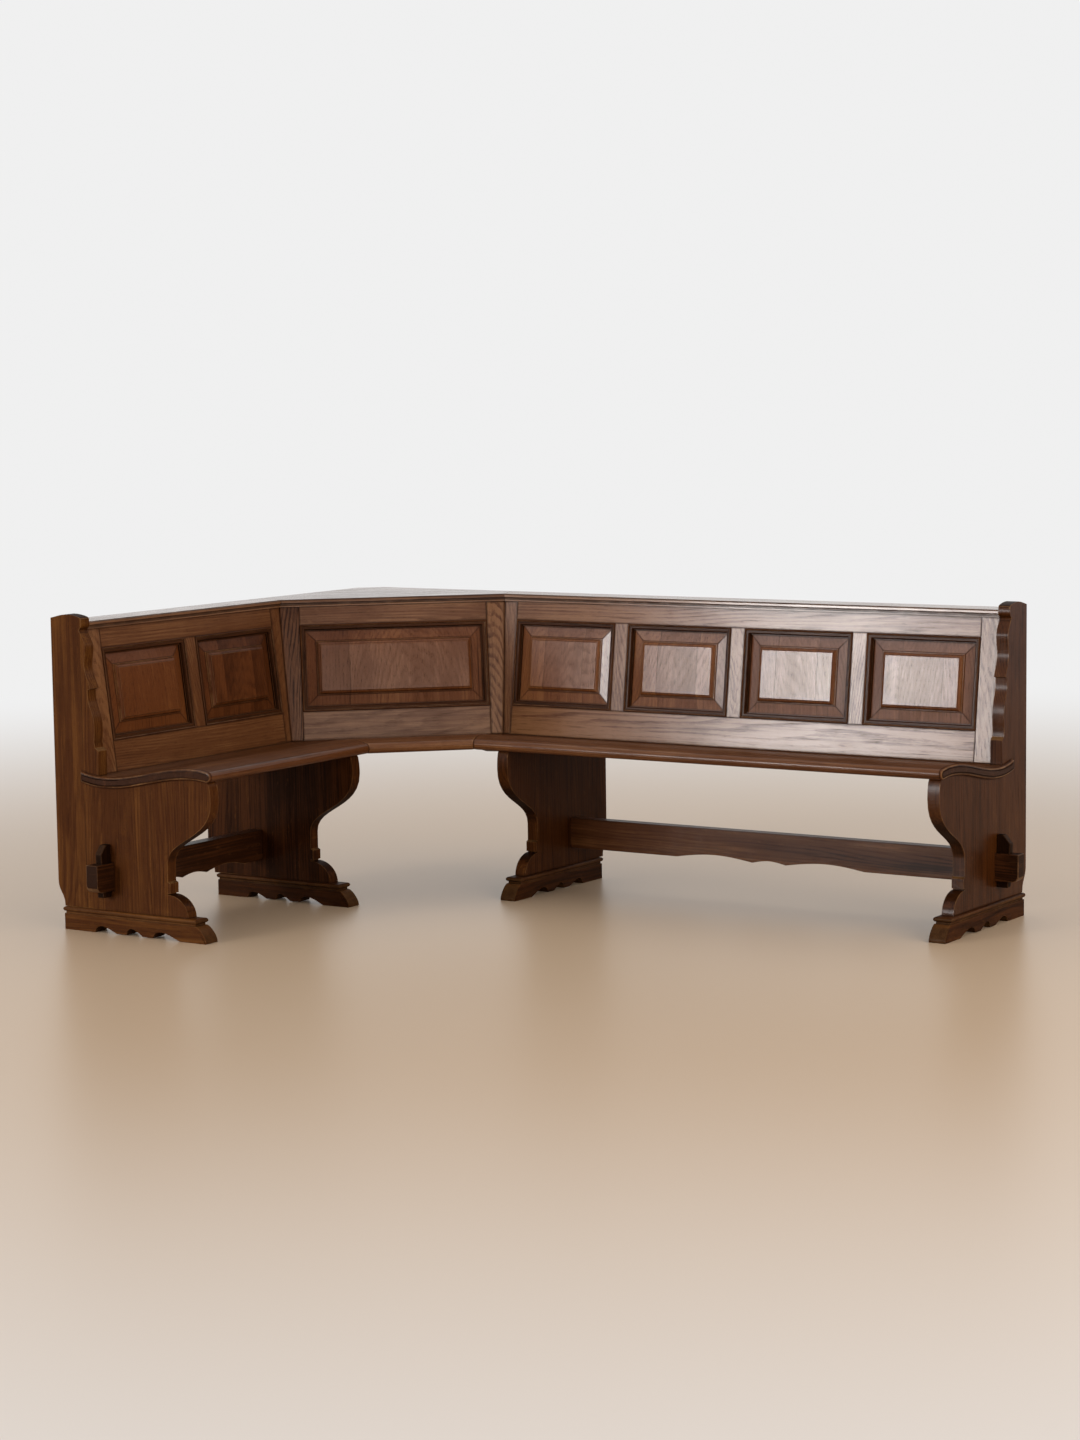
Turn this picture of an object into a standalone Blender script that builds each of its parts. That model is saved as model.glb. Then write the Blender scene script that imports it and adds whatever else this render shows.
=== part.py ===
"""Corner bench in dark oak: a long and a short panelled bench joined by a mitred corner unit.

Metres, +Z up. The origin is on the floor under the middle of the bench's outline. +X runs along the long
bench away from the corner, and +Y points to the wall behind it. A depth is a distance from the wall.
"""

import math
from dataclasses import dataclass

import bmesh
import bpy
import numpy as np
from mathutils import Matrix, Vector

# Plan
LONG_RUN = 2.284  # wall corner to the outer face of the long bench's end board
SHORT_RUN = 1.506
CORNER_WALL = 0.550  # wall corner to the mitre, along each wall
LONG_LEG = 0.870  # wall corner to the middle of the long bench's inner leg
SHORT_LEG = 0.820
LONG_PANEL_COUNT = 4
SHORT_PANEL_COUNT = 2
SHELF_CLIP = 0.045  # the corner shelf's tip, cut off square this far from the wall corner

# Fits
FIT = 0.0003  # between two pieces that touch
SEAM = 0.0006  # between two units, across the mitre
PANEL_PLAY = 0.0009  # room for a panel to swell in its grooves
BEARER_FIT = 0.0006

# Cap boards and corner shelf
CAP_TOP = 0.870
CAP_THICK = 0.022
CAP_REACH = 0.108
CAP_LIP = 0.010  # height of the square upper edge
CAP_LIP_STEP = 0.002
CAP_COVE = 0.006
CAP_FILLET = 0.004  # height of the flat under the cove

# Reclined back frames
RECLINE = math.radians(7.5)
FRAME_THICK = 0.026
FRAME_DEPTH = 0.096  # front face of the frame, under the cap
TOP_RAIL = 0.056
OPENING = 0.264  # height of a panel opening, along the slope
MUNTIN = 0.045
END_STILE = 0.056
RUN_MITRE_STILE = 0.044  # mitred stiles are measured at the top of the openings
CORNER_MITRE_STILE = 0.057
GROOVE_DEEP = 0.010
GROOVE_WIDE = 0.0066
GROOVE_FRONT = 0.014  # frame face to the groove
TONGUE_RISE = 0.004  # from the seat to the stub tenons of a bottom rail

# Panels and their mouldings
MOULDING_WIDE = 0.018
MOULDING_BEAD = 0.005
MOULDING_PROUD = 0.0025
MOULDING_QUIRK = 0.0015  # width and depth of the groove beside the bead
MOULDING_FILLET = 0.0025  # width of the flat beside the panel
MOULDING_FALL = 0.0095  # from the frame's face down to that flat
BEVEL_WIDE = 0.031
BEVEL_RISE = 0.0032
FIELD_EDGE = 0.013  # width of the moulded edge round a raised field
FIELD_RISE = 0.0125
# Moulded edge as shares of its width and rise: a fillet, a round and a second fillet
FIELD_PROFILE = ((0.06, 0.26), (0.22, 0.26), (0.27, 0.48), (0.42, 0.70), (0.66, 0.84), (0.88, 0.88),
                 (0.94, 1.00))

# Seat boards
SEAT_THICK = 0.030
SEAT_BACK_DEPTH = 0.100
SEAT_BACK_HEIGHT = 0.453
SEAT_LOW_DEPTH = 0.185
SEAT_LOW_HEIGHT = 0.441
SEAT_LIP_DEPTH = 0.500
SEAT_LIP_HEIGHT = 0.482
SEAT_FRONT_DEPTH = 0.566
SEAT_FRONT_DROP = 0.008
SEAT_OVERHANG = 0.010  # past the outer face of the end board
SEAT_END_ROUND = 0.006

# End boards and legs
BOARD = 0.036
POST_OVER_CAP = 0.010
POST_ARCH = 0.011
NOSE_REACH = 0.111
NOSE_ROUND = 0.006
NOSE_UNDERCUT = 0.006  # hollow under the nose, in front of the back
PROFILE_TALL = 0.395  # height from seat to cap that the post's moulded edge is drawn for
REAR_COVE_HEIGHT = 0.140
REAR_COVE = 0.023
LEG_FRONT_INSET = 0.004  # behind the start of the seat's round nose
BULGE = 0.558
BULGE_HEIGHT = 0.392
BULGE_PULL = 0.107
WAIST = 0.400
WAIST_HEIGHT = 0.212
WAIST_PULL = 0.072
LEDGE = 0.008
LEDGE_TOP = 0.158
LEDGE_BOTTOM = 0.130
SCROLL_DROP = 0.004  # from the underside of the ledge
SCROLL_REACH = 0.070
INNER_SETBACK = 0.014  # of the inner legs' front edge
LEG_TENON_THICK = 0.018
LEG_TENON_DEEP = 0.030
LEG_TENON_BACK = 0.070
LEG_TENON_LONG = 0.330

# Sledge feet
FOOT_THICK = 0.056
FOOT_BACK = 0.026
FOOT_LONG = 0.510
INNER_FOOT_BACK = 0.040
INNER_FOOT_LONG = 0.486
FOOT_HEIGHT = 0.065
NOSING_HEIGHT = 0.013
NOSING_PROUD = 0.003
NOSING_TOE = 0.003  # past the top of the sloping toe
NECK_HEIGHT = 0.006
NECK_INSET = 0.003
TOE_SLOPE = 0.036
TOE_ROUND = 0.005
TOE_SWELL = 0.012  # how far the toe's slope swells out
WAVE_RISE = 0.019
CUSP_HEIGHT = 0.002
HEEL_PAD = 0.110
TOE_PAD = 0.094
WAVES = ((0.0, 0.26), (0.375, 0.57), (0.685, 1.0))  # arches, as shares of the length between the pads
WAVE_LEAN = 0.6  # below 1 the crests lean to the heel

# Stretchers and their keys
STRETCHER_DEPTH = 0.186  # middle of its thickness
STRETCHER_THICK = 0.040
STRETCHER_BOTTOM = 0.117
STRETCHER_HEIGHT = 0.090
TENON_SHOULDER = 0.006
TENON_OUT = 0.070
TENON_ROUND = 0.020  # lower outer corner of a tenon
ARCH_RISE = 0.013
LONG_SCALLOP = 0.310  # middle of the stretcher to the end of its outer arch
SHORT_SCALLOP = 0.230
MIDDLE_ARCH = 0.055
MIDDLE_ARCH_RISE = 0.008
KEY_THICK = 0.022
KEY_BOTTOM = 0.105
KEY_HEIGHT = 0.148
KEY_HEAD = 0.042
KEY_TOE = 0.034
KEY_SLOPE_WIDE = 0.021  # sloping outer part of a key's head
KEY_SLOPE_TALL = 0.024
KEY_DRAW = 0.004  # the slot reaches this far into the leg, so that the key pulls tight

# Hidden carriers of the corner unit
BEARER_WIDE = 0.050
BEARER_DEEP = 0.014
BEARER_BACK_DEPTH = 0.130
BEARER_FRONT_DEPTH = 0.350
PLATE_THICK = 0.003
PLATE_TALL = 0.060
PLATE_LEG = 0.027
PLATE_DROP = 0.030  # from the top of the frame to the upper plates
PLATE_RISE = 0.058  # from the seat to the lower plates

# Worked out from the sizes above
MITRE = math.radians(22.5)
TAN_MITRE = math.tan(MITRE)
CORNER_HALF = CORNER_WALL / math.sqrt(2)
CAP_UNDER = CAP_TOP - CAP_THICK
FLUSH = 0.002  # overlap that a cut or a join needs to be clean
CURVE_STEPS = 12

# Finishes
LEG_OAK = ((0.150, 0.062, 0.022), 0.42)
FRAME_OAK = ((0.110, 0.048, 0.022), 0.38)
PANEL_OAK = ((0.130, 0.052, 0.022), 0.35)
SEAT_OAK = ((0.120, 0.052, 0.022), 0.36)
KEY_OAK = ((0.060, 0.026, 0.012), 0.45)
STEEL = ((0.330, 0.320, 0.310), 0.40)


@dataclass(frozen=True)
class Run:
    """One straight bench. hand is +1 where it runs along its own +X and -1 where it runs along -X."""

    name: str
    length: float
    leg: float
    panels: int
    scallop: float
    hand: int
    turn: float


LONG = Run("long", LONG_RUN, LONG_LEG, LONG_PANEL_COUNT, LONG_SCALLOP, 1, 0.0)
SHORT = Run("short", SHORT_RUN, SHORT_LEG, SHORT_PANEL_COUNT, SHORT_SCALLOP, -1, math.pi / 2)


# Curves

def bezier(start, pull_a, pull_b, end, steps=CURVE_STEPS):
    """Points of a cubic curve after its start, up to and with its end."""
    corners = [np.array(p, float) for p in (start, pull_a, pull_b, end)]
    points = []
    for i in range(1, steps + 1):
        t = i / steps
        weights = ((1 - t) ** 3, 3 * t * (1 - t) ** 2, 3 * t * t * (1 - t), t ** 3)
        points.append(tuple(sum(w * p for w, p in zip(weights, corners))))
    return points


def s_curve(start, end, pull_start, pull_end):
    """A double bend that leaves start and reaches end along the second axis."""
    way = math.copysign(1, end[1] - start[1])
    return bezier(start, (start[0], start[1] + way * pull_start), (end[0], end[1] - way * pull_end), end)


def through(points, steps=4):
    """A smooth curve through all the points (Catmull-Rom)."""
    ends = [points[0], *points, points[-1]]
    line = [points[0]]
    for before, here, there, after in zip(ends, ends[1:], ends[2:], ends[3:]):
        before, here, there, after = (np.array(p, float) for p in (before, here, there, after))
        pull_here = here + (there - before) / 6
        pull_there = there - (after - here) / 6
        line += bezier(here, pull_here, pull_there, there, steps)
    return line


def seat_line():
    """Depths and heights of the seat's upper face, from its back edge to its round nose."""
    rear = np.linspace(SEAT_BACK_DEPTH, SEAT_LOW_DEPTH, 6)
    middle = np.linspace(SEAT_LOW_DEPTH, SEAT_LIP_DEPTH, 17)[1:]
    front = np.linspace(SEAT_LIP_DEPTH, SEAT_FRONT_DEPTH - SEAT_THICK / 2, 4)[1:]
    sweep = (SEAT_LOW_DEPTH - rear) / (SEAT_LOW_DEPTH - SEAT_BACK_DEPTH)
    rear_z = SEAT_LOW_HEIGHT + (SEAT_BACK_HEIGHT - SEAT_LOW_HEIGHT) * sweep ** 2
    swing = (1 - np.cos(np.pi * (middle - SEAT_LOW_DEPTH) / (SEAT_LIP_DEPTH - SEAT_LOW_DEPTH))) / 2
    middle_z = SEAT_LOW_HEIGHT + (SEAT_LIP_HEIGHT - SEAT_LOW_HEIGHT) * swing
    fall = (front - SEAT_LIP_DEPTH) / (SEAT_FRONT_DEPTH - SEAT_LIP_DEPTH)
    front_z = SEAT_LIP_HEIGHT - SEAT_FRONT_DROP * fall ** 2
    return np.concatenate([rear, middle, front]), np.concatenate([rear_z, middle_z, front_z])


SEAT_DEPTHS, SEAT_HEIGHTS = seat_line()


def seat_height(depth):
    """Height of the seat's upper face at a depth."""
    return float(np.interp(depth, SEAT_DEPTHS, SEAT_HEIGHTS))


def along_seat(first, last, offset):
    """Points that follow the seat's upper face from one depth to another, at a height above it."""
    between = [d for d in SEAT_DEPTHS if min(first, last) < d < max(first, last)]
    depths = [first, *sorted(between, reverse=bool(last < first)), last]
    return [(float(d), seat_height(d) + offset) for d in depths]


def frame_front(height):
    """Depth of the back's front face at a height."""
    return FRAME_DEPTH + (CAP_UNDER - FIT - height) * math.tan(RECLINE)


def frame_rear(height):
    """Depth of the back's rear face at a height."""
    return frame_front(height) - FRAME_THICK / math.cos(RECLINE)


# Meshes

def prism(outline, axis, start, stop):
    """A flat outline carried along an axis. Its points are (y, z) for X, (x, z) for Y and (x, y) for Z."""
    slot = "XYZ".index(axis)
    way = Vector([float(slot == i) for i in range(3)])
    bm = bmesh.new()
    corners = []
    for point in outline:
        spot = list(point)
        spot.insert(slot, start)
        corners.append(bm.verts.new(spot))
    made = bmesh.ops.extrude_face_region(bm, geom=[bm.faces.new(corners)])["geom"]
    moved = [v for v in made if isinstance(v, bmesh.types.BMVert)]
    bmesh.ops.translate(bm, verts=moved, vec=way * (stop - start))
    return closed(bm)


def box(low, high):
    """A plain block between two corners."""
    outline = [(low[0], low[1]), (high[0], low[1]), (high[0], high[1]), (low[0], high[1])]
    return prism(outline, "Z", low[2], high[2])


def closed(bm):
    """Turns all faces outwards."""
    bmesh.ops.recalc_face_normals(bm, faces=bm.faces)
    return bm


def lofted(loops, ring=False):
    """Joins loops of equally many points. A ring joins the last to the first; else both ends are closed."""
    bm = bmesh.new()
    rows = [[bm.verts.new(p) for p in loop] for loop in loops]
    pairs = list(zip(rows, rows[1:] + rows[:1]))
    for here, there in pairs if ring else pairs[:-1]:
        for i in range(len(here)):
            j = (i + 1) % len(here)
            bm.faces.new((here[i], here[j], there[j], there[i]))
    if not ring:
        bm.faces.new(rows[0])
        bm.faces.new(rows[-1])
    return closed(bm)


def trim(bm, plane):
    """Cuts away what lies on the normal's side of a plane (point, normal), and closes the cut."""
    point, normal = plane
    everything = bm.verts[:] + bm.edges[:] + bm.faces[:]
    cut = bmesh.ops.bisect_plane(bm, geom=everything, plane_co=point, plane_no=normal, clear_outer=True)
    rim = [e for e in cut["geom_cut"] if isinstance(e, bmesh.types.BMEdge)]
    bmesh.ops.contextual_create(bm, geom=rim)
    return closed(bm)


def to_room(outline):
    """(depth, height) points as (y, z) points of a unit, whose +Y points to the wall."""
    return [(-d, z) for d, z in outline]


# Objects

def material(name, finish):
    """A Principled material with the finish's colour and roughness."""
    colour, roughness = finish
    made = bpy.data.materials.new(name)
    made.use_nodes = True
    shader = made.node_tree.nodes["Principled BSDF"]
    shader.inputs["Base Color"].default_value = (*colour, 1)
    shader.inputs["Roughness"].default_value = roughness
    shader.inputs["Metallic"].default_value = 1.0 if finish is STEEL else 0.0
    return made


def place(name, bm, parent, finish):
    """Makes a named piece of the bench from a mesh."""
    mesh = bpy.data.meshes.new(name)
    bm.to_mesh(mesh)
    bm.free()
    mesh.shade_smooth()
    mesh.set_sharp_from_angle(angle=math.radians(32))
    mesh.materials.append(material(f"{name}_finish", finish))
    piece = bpy.data.objects.new(name, mesh)
    bpy.context.collection.objects.link(piece)
    piece.parent = parent
    return piece


def shape_with(piece, bm, operation):
    """Joins a hidden helper to a piece, or cuts it out of the piece."""
    name = f"{piece.name}_{operation.lower()}_{len(piece.modifiers)}"
    mesh = bpy.data.meshes.new(name)
    bm.to_mesh(mesh)
    bm.free()
    tool = bpy.data.objects.new(name, mesh)
    bpy.context.collection.objects.link(tool)
    tool.parent = piece.parent
    tool.hide_render = True
    tool.display_type = "WIRE"
    step = piece.modifiers.new(name, "BOOLEAN")
    step.operation = operation
    step.solver = "EXACT"
    step.object = tool
    return piece


def empty(name, parent, location, turn=0.0, lean=0.0):
    """A guide that places the pieces below it."""
    guide = bpy.data.objects.new(name, None)
    bpy.context.collection.objects.link(guide)
    guide.parent = parent
    guide.location = location
    guide.rotation_euler = (lean, 0.0, turn)
    return guide


BACK_PLACE = Vector((0.0, -FRAME_DEPTH, CAP_UNDER - FIT))
BACK_MATRIX = Matrix.Translation(BACK_PLACE) @ Matrix.Rotation(-RECLINE, 4, "X")


def on_back(plane):
    """A plane of a unit, as the reclined back sees it."""
    point, normal = plane
    return BACK_MATRIX.inverted() @ Vector(point), BACK_MATRIX.to_3x3().inverted() @ Vector(normal)


def seat_plane():
    """The plane that a back stands on: it touches the seat under the frame's two faces."""
    front = rear = SEAT_LOW_DEPTH
    for _ in range(8):
        front = frame_front(seat_height(front))
        rear = frame_rear(seat_height(rear))
    step = Vector((0.0, -front, seat_height(front))) - Vector((0.0, -rear, seat_height(rear)))
    point = Vector((0.0, -front, seat_height(front) + FIT))
    return point, Vector((0.0, step.z, -step.y)).normalized() * -1


def seat_on_back(thickness):
    """Height of the plane that a back stands on, along the slope, behind the frame's face."""
    point, normal = on_back(seat_plane())
    return point.z - (thickness - point.y) * normal.y / normal.z


def run_mitre(run):
    """Mitre plane of a straight bench, facing the corner."""
    normal = Vector((-run.hand, -TAN_MITRE, 0.0)).normalized()
    return Vector((run.hand * CORNER_WALL, 0.0, 0.0)) - normal * SEAM / 2, normal


def corner_mitre(side):
    """Mitre plane of the corner unit on its left (-1) or right (+1) side."""
    normal = Vector((side, -TAN_MITRE, 0.0)).normalized()
    return Vector((side * CORNER_HALF, 0.0, 0.0)) - normal * SEAM / 2, normal


# Legs and feet

def leg_front(setback):
    """Depth of a leg's front edge right under the seat."""
    return SEAT_FRONT_DEPTH - SEAT_THICK / 2 - LEG_FRONT_INSET - setback


def front_contour(setback):
    """Front edge of a leg, from under the seat's nose down to the foot."""
    top = leg_front(setback)
    start = (top, seat_height(top) - SEAT_THICK - FIT)
    bulge = (BULGE - setback, BULGE_HEIGHT)
    waist = WAIST - setback
    base = FOOT_HEIGHT + FIT
    line = [start]
    line += bezier(start, (bulge[0], start[1] - LEDGE), (bulge[0], bulge[1] + LEDGE), bulge, 4)
    line += s_curve(bulge, (waist, WAIST_HEIGHT), BULGE_PULL, WAIST_PULL)
    line += [(waist, LEDGE_TOP + LEDGE / 2), (waist + LEDGE, LEDGE_TOP), (waist + LEDGE, LEDGE_BOTTOM)]
    line += [(waist, LEDGE_BOTTOM), (waist, LEDGE_BOTTOM - SCROLL_DROP)]
    bow = LEDGE_BOTTOM - SCROLL_DROP - base
    for i in range(1, CURVE_STEPS + 1):
        turn = math.pi / 2 * i / CURVE_STEPS
        line.append((waist + SCROLL_REACH * math.sin(turn), base + bow * math.cos(turn)))
    return line


def rear_contour():
    """Rear edge of a leg, from the foot up to where it meets the wall line."""
    foot = (REAR_COVE, FOOT_HEIGHT + FIT)
    bend = (REAR_COVE_HEIGHT - foot[1]) / 2
    return [foot, *s_curve(foot, (0.0, REAR_COVE_HEIGHT), bend, bend)]


def seat_notch(post_front, setback):
    """The notch that takes the seat, from the post's front edge back, down and out to the front."""
    upper = along_seat(post_front, SEAT_BACK_DEPTH - FIT, FIT)
    lower = along_seat(SEAT_BACK_DEPTH - FIT, leg_front(setback), -SEAT_THICK - FIT)
    return upper + lower[:-1]


def post_profile():
    """Moulded front edge of an end board's post, as (drop below the cap, depth in front of the back)."""
    upper = through([(0.001, NOSE_UNDERCUT), (0.018, 0.014), (0.045, 0.022), (0.072, 0.016),
                     (0.100, 0.009), (0.132, 0.013), (0.162, 0.022)])
    lower = through([(0.166, 0.010), (0.188, 0.0075), (0.206, 0.009), (0.236, 0.017),
                     (0.268, 0.0185), (0.312, 0.010)])
    stretch = (CAP_UNDER - SEAT_BACK_HEIGHT) / PROFILE_TALL
    return [(drop * stretch, proud) for drop, proud in upper + lower + [(0.328, 0.011), (0.336, 0.021)]]


def end_board_outline():
    """Outline of an end board as (depth, height) points."""
    shoulder = CAP_TOP + POST_OVER_CAP
    crown = (NOSE_REACH / 2, shoulder + POST_ARCH)
    brow = (NOSE_REACH - NOSE_ROUND, shoulder + POST_ARCH / 3)
    tip = (NOSE_REACH, CAP_UNDER + 2 * NOSE_ROUND)
    chin = (NOSE_REACH - NOSE_ROUND, CAP_UNDER + NOSE_ROUND / 2)
    line = rear_contour()
    line += through([(0.0, shoulder), crown, brow, (NOSE_REACH, CAP_TOP), tip, chin])
    for drop, proud in post_profile():
        height = CAP_UNDER - drop
        line.append((frame_front(height) + proud, height))
    line += seat_notch(line[-1][0], 0.0)
    return line + front_contour(0.0)


def inner_leg_outline():
    """Outline of an inner leg, whose straight post leans against the rear of the back."""
    top = CAP_UNDER - FIT
    gap = FIT / math.cos(RECLINE)
    foot = SEAT_LOW_DEPTH
    for _ in range(8):
        foot = frame_rear(seat_height(foot) + FIT) - gap
    line = rear_contour()
    line += [(0.0, top), (frame_rear(top) - gap, top)]
    return line + seat_notch(foot, INNER_SETBACK) + front_contour(INNER_SETBACK)


def leg_tenon(middle, grow):
    """Tenon under a leg, or its mortise where it grows by a fit."""
    low = (middle - LEG_TENON_THICK / 2 - grow, -LEG_TENON_BACK - LEG_TENON_LONG - grow,
           FOOT_HEIGHT - LEG_TENON_DEEP - grow)
    high = (middle + LEG_TENON_THICK / 2 + grow, -LEG_TENON_BACK + grow, FOOT_HEIGHT + FIT + FLUSH)
    return box(low, high)


def tenon_heights():
    """Lower and upper edge of a stretcher's through tenon."""
    return STRETCHER_BOTTOM + TENON_SHOULDER, STRETCHER_BOTTOM + STRETCHER_HEIGHT - TENON_SHOULDER


def leg(name, outline, middle, parent):
    """A shaped board with a tenon for its foot and a mortise for the stretcher."""
    piece = place(name, prism(to_room(outline), "X", middle - BOARD / 2, middle + BOARD / 2), parent, LEG_OAK)
    shape_with(piece, leg_tenon(middle, 0.0), "UNION")
    low, high = tenon_heights()
    half = STRETCHER_THICK / 2 + FIT
    hole_low = (middle - BOARD, -STRETCHER_DEPTH - half, low - FIT)
    hole_high = (middle + BOARD, half - STRETCHER_DEPTH, high + FIT)
    return shape_with(piece, box(hole_low, hole_high), "DIFFERENCE")


def foot_underside(heel, length):
    """Scalloped lower edge of a foot, from heel to toe."""
    line = [(heel, 0.0)]
    span = length - HEEL_PAD - TOE_PAD
    for start, end in WAVES:
        first = CUSP_HEIGHT if start > 0 else 0.0
        last = CUSP_HEIGHT if end < 1 else 0.0
        for i in range(CURVE_STEPS + 1):
            t = i / CURVE_STEPS
            level = first + (last - first) * t
            along = heel + HEEL_PAD + span * (start + (end - start) * t)
            line.append((along, level + WAVE_RISE * math.sin(math.pi * t ** WAVE_LEAN)))
    return line + [(heel + length - TOE_ROUND, 0.0)]


def toe_line(tip, top):
    """Swelling slope of a toe from its rounded tip to its top."""
    floor = (tip - TOE_ROUND, 0.0)
    start = (tip, TOE_ROUND)
    line = bezier(floor, (tip, 0.0), (tip, 0.0), start, 4)
    return line + bezier(start, (tip, TOE_ROUND + TOE_SWELL), (top[0] + TOE_SWELL, top[1]), top)


def foot(name, middle, heel, length, parent):
    """A sledge foot: a scalloped block with a sloping toe, a sunk neck and a half-round nosing."""
    block_top = FOOT_HEIGHT - NOSING_HEIGHT - NECK_HEIGHT
    toe = heel + length - TOE_SLOPE
    outline = foot_underside(heel, length) + toe_line(heel + length, (toe, block_top)) + [(heel, block_top)]
    half = FOOT_THICK / 2 - NOSING_PROUD
    piece = place(name, prism(to_room(outline), "X", middle - half, middle + half), parent, LEG_OAK)
    neck = half - NECK_INSET
    neck_low = (middle - neck, NECK_INSET - toe, block_top - FLUSH)
    neck_high = (middle + neck, -heel - NECK_INSET, block_top + NECK_HEIGHT + FLUSH)
    shape_with(piece, box(neck_low, neck_high), "UNION")
    shape_with(piece, nosing(middle, heel, toe), "UNION")
    return shape_with(piece, leg_tenon(middle, FIT), "DIFFERENCE")


def nosing(middle, heel, toe):
    """A slab along the top of a foot, half-round on all its edges."""
    radius = NOSING_HEIGHT / 2
    loops = []
    for i in range(CURVE_STEPS + 1):
        turn = math.pi * (i / CURVE_STEPS - 0.5)
        inset = radius * (1 - math.cos(turn))
        height = FOOT_HEIGHT - radius + radius * math.sin(turn)
        half = FOOT_THICK / 2 - inset
        front, back = inset - toe - NOSING_TOE, NOSING_PROUD - heel - inset
        loops.append([(middle - half, front, height), (middle + half, front, height),
                      (middle + half, back, height), (middle - half, back, height)])
    return lofted(loops)


# Stretchers and keys

def key_width(height):
    """Width of a key, from the leg outwards, at a height above the floor."""
    return KEY_TOE + (KEY_HEAD - KEY_TOE) * (height - KEY_BOTTOM) / KEY_HEIGHT


def tenon_end(end, way):
    """Outline of a tenon's end from top to bottom: square above, rounded below."""
    low, high = tenon_heights()
    line = [(end, high)]
    for i in range(5):
        turn = math.pi / 2 * i / 4
        inward = TENON_ROUND * (1 - math.cos(turn))
        line.append((end - way * inward, low + TENON_ROUND * (1 - math.sin(turn))))
    return line


def stretcher_outline(run, first, last):
    """Outline of a stretcher with its tenons, as (distance from the corner, height) points."""
    low, high = tenon_heights()
    bottom, top = STRETCHER_BOTTOM, STRETCHER_BOTTOM + STRETCHER_HEIGHT
    out = BOARD + TENON_OUT + FIT
    middle = (first + last) / 2
    line = [*tenon_end(first - out, -1), (first, low), (first, bottom)]
    waves = []
    for i in range(2 * CURVE_STEPS + 1):
        t = i / (2 * CURVE_STEPS)
        waves.append((run.scallop + (MIDDLE_ARCH - run.scallop) * t, ARCH_RISE * math.sin(math.pi * t)))
    for i in range(1, CURVE_STEPS + 1):
        t = i / CURVE_STEPS
        waves.append((MIDDLE_ARCH * (1 - t), MIDDLE_ARCH_RISE * math.sin(math.pi / 2 * t)))
    line += [(middle - away, bottom + rise) for away, rise in waves]
    line += [(middle + away, bottom + rise) for away, rise in reversed(waves[:-1])]
    line += [(last, bottom), (last, low), *reversed(tenon_end(last + out, 1))]
    return line + [(last, high), (last, top), (first, top), (first, high)]


def key_slot(run, face, way):
    """Slot for a key in a tenon: face is the leg's outer face and way points out of it."""
    low, high = tenon_heights()
    low, high = low - FLUSH, high + FLUSH
    outline = [(face - way * KEY_DRAW, low), (face + way * (key_width(low) + 2 * FIT), low),
               (face + way * (key_width(high) + 2 * FIT), high), (face - way * KEY_DRAW, high)]
    half = KEY_THICK / 2 + FIT
    points = [(run.hand * u, z) for u, z in outline]
    return prism(points, "Y", -STRETCHER_DEPTH - half, half - STRETCHER_DEPTH)


def key(name, run, face, way, parent):
    """A tapered wedge that stands in its tenon against the leg. Its origin is on the line it slides along."""
    top = KEY_BOTTOM + KEY_HEIGHT
    slope = top - KEY_SLOPE_TALL
    sides = [(FIT, KEY_BOTTOM), (FIT + KEY_TOE, KEY_BOTTOM), (FIT + key_width(slope), slope),
             (FIT + KEY_HEAD - KEY_SLOPE_WIDE, top), (FIT, top)]
    outline = [(run.hand * way * out, z - KEY_BOTTOM) for out, z in sides]
    piece = place(name, prism(outline, "Y", -KEY_THICK / 2, KEY_THICK / 2), parent, KEY_OAK)
    piece.location = (run.hand * face, -STRETCHER_DEPTH, KEY_BOTTOM)
    return piece


def stretcher(run, parent):
    """The rail between the two legs, with its two keys."""
    inner_face = run.leg - BOARD / 2
    outline = stretcher_outline(run, run.leg + BOARD / 2 + FIT, run.length - BOARD - FIT)
    half = STRETCHER_THICK / 2
    points = [(run.hand * u, z) for u, z in outline]
    bm = prism(points, "Y", -STRETCHER_DEPTH - half, half - STRETCHER_DEPTH)
    piece = place(f"{run.name}_stretcher", bm, parent, LEG_OAK)
    shape_with(piece, key_slot(run, run.length, 1), "DIFFERENCE")
    shape_with(piece, key_slot(run, inner_face, -1), "DIFFERENCE")
    key(f"{run.name}_end_key", run, run.length, 1, parent)
    key(f"{run.name}_inner_key", run, inner_face, -1, parent)


# Seats

def seat_section():
    """Section of a seat board as (depth, height) points: dished, with a round nose."""
    top = along_seat(SEAT_BACK_DEPTH, SEAT_DEPTHS[-1], 0.0)
    nose_depth, nose_top = top[-1]
    radius = SEAT_THICK / 2
    nose = []
    for i in range(1, CURVE_STEPS):
        turn = math.pi / 2 - math.pi * i / CURVE_STEPS
        nose.append((nose_depth + radius * math.cos(turn), nose_top - radius + radius * math.sin(turn)))
    return top + nose + along_seat(SEAT_DEPTHS[-1], SEAT_BACK_DEPTH, -SEAT_THICK)


def run_seat(run, parent):
    """A dished seat from the mitre to just past the end board, where its end is rounded."""
    end = run.hand * (run.length + SEAT_OVERHANG)
    bm = prism(to_room(seat_section()), "X", 0.0, end)
    rim = [e for e in bm.edges if all(abs(v.co.x - end) < FIT for v in e.verts)]
    bmesh.ops.bevel(bm, geom=rim, offset=SEAT_END_ROUND, segments=2, profile=0.5, affect="EDGES")
    place(f"{run.name}_seat", trim(bm, run_mitre(run)), parent, SEAT_OAK)


def corner_seat(parent):
    """The corner's seat, mitred at both ends."""
    bm = prism(to_room(seat_section()), "X", -CORNER_HALF, CORNER_HALF)
    place("corner_seat", trim(trim(bm, corner_mitre(-1)), corner_mitre(1)), parent, SEAT_OAK)


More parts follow.
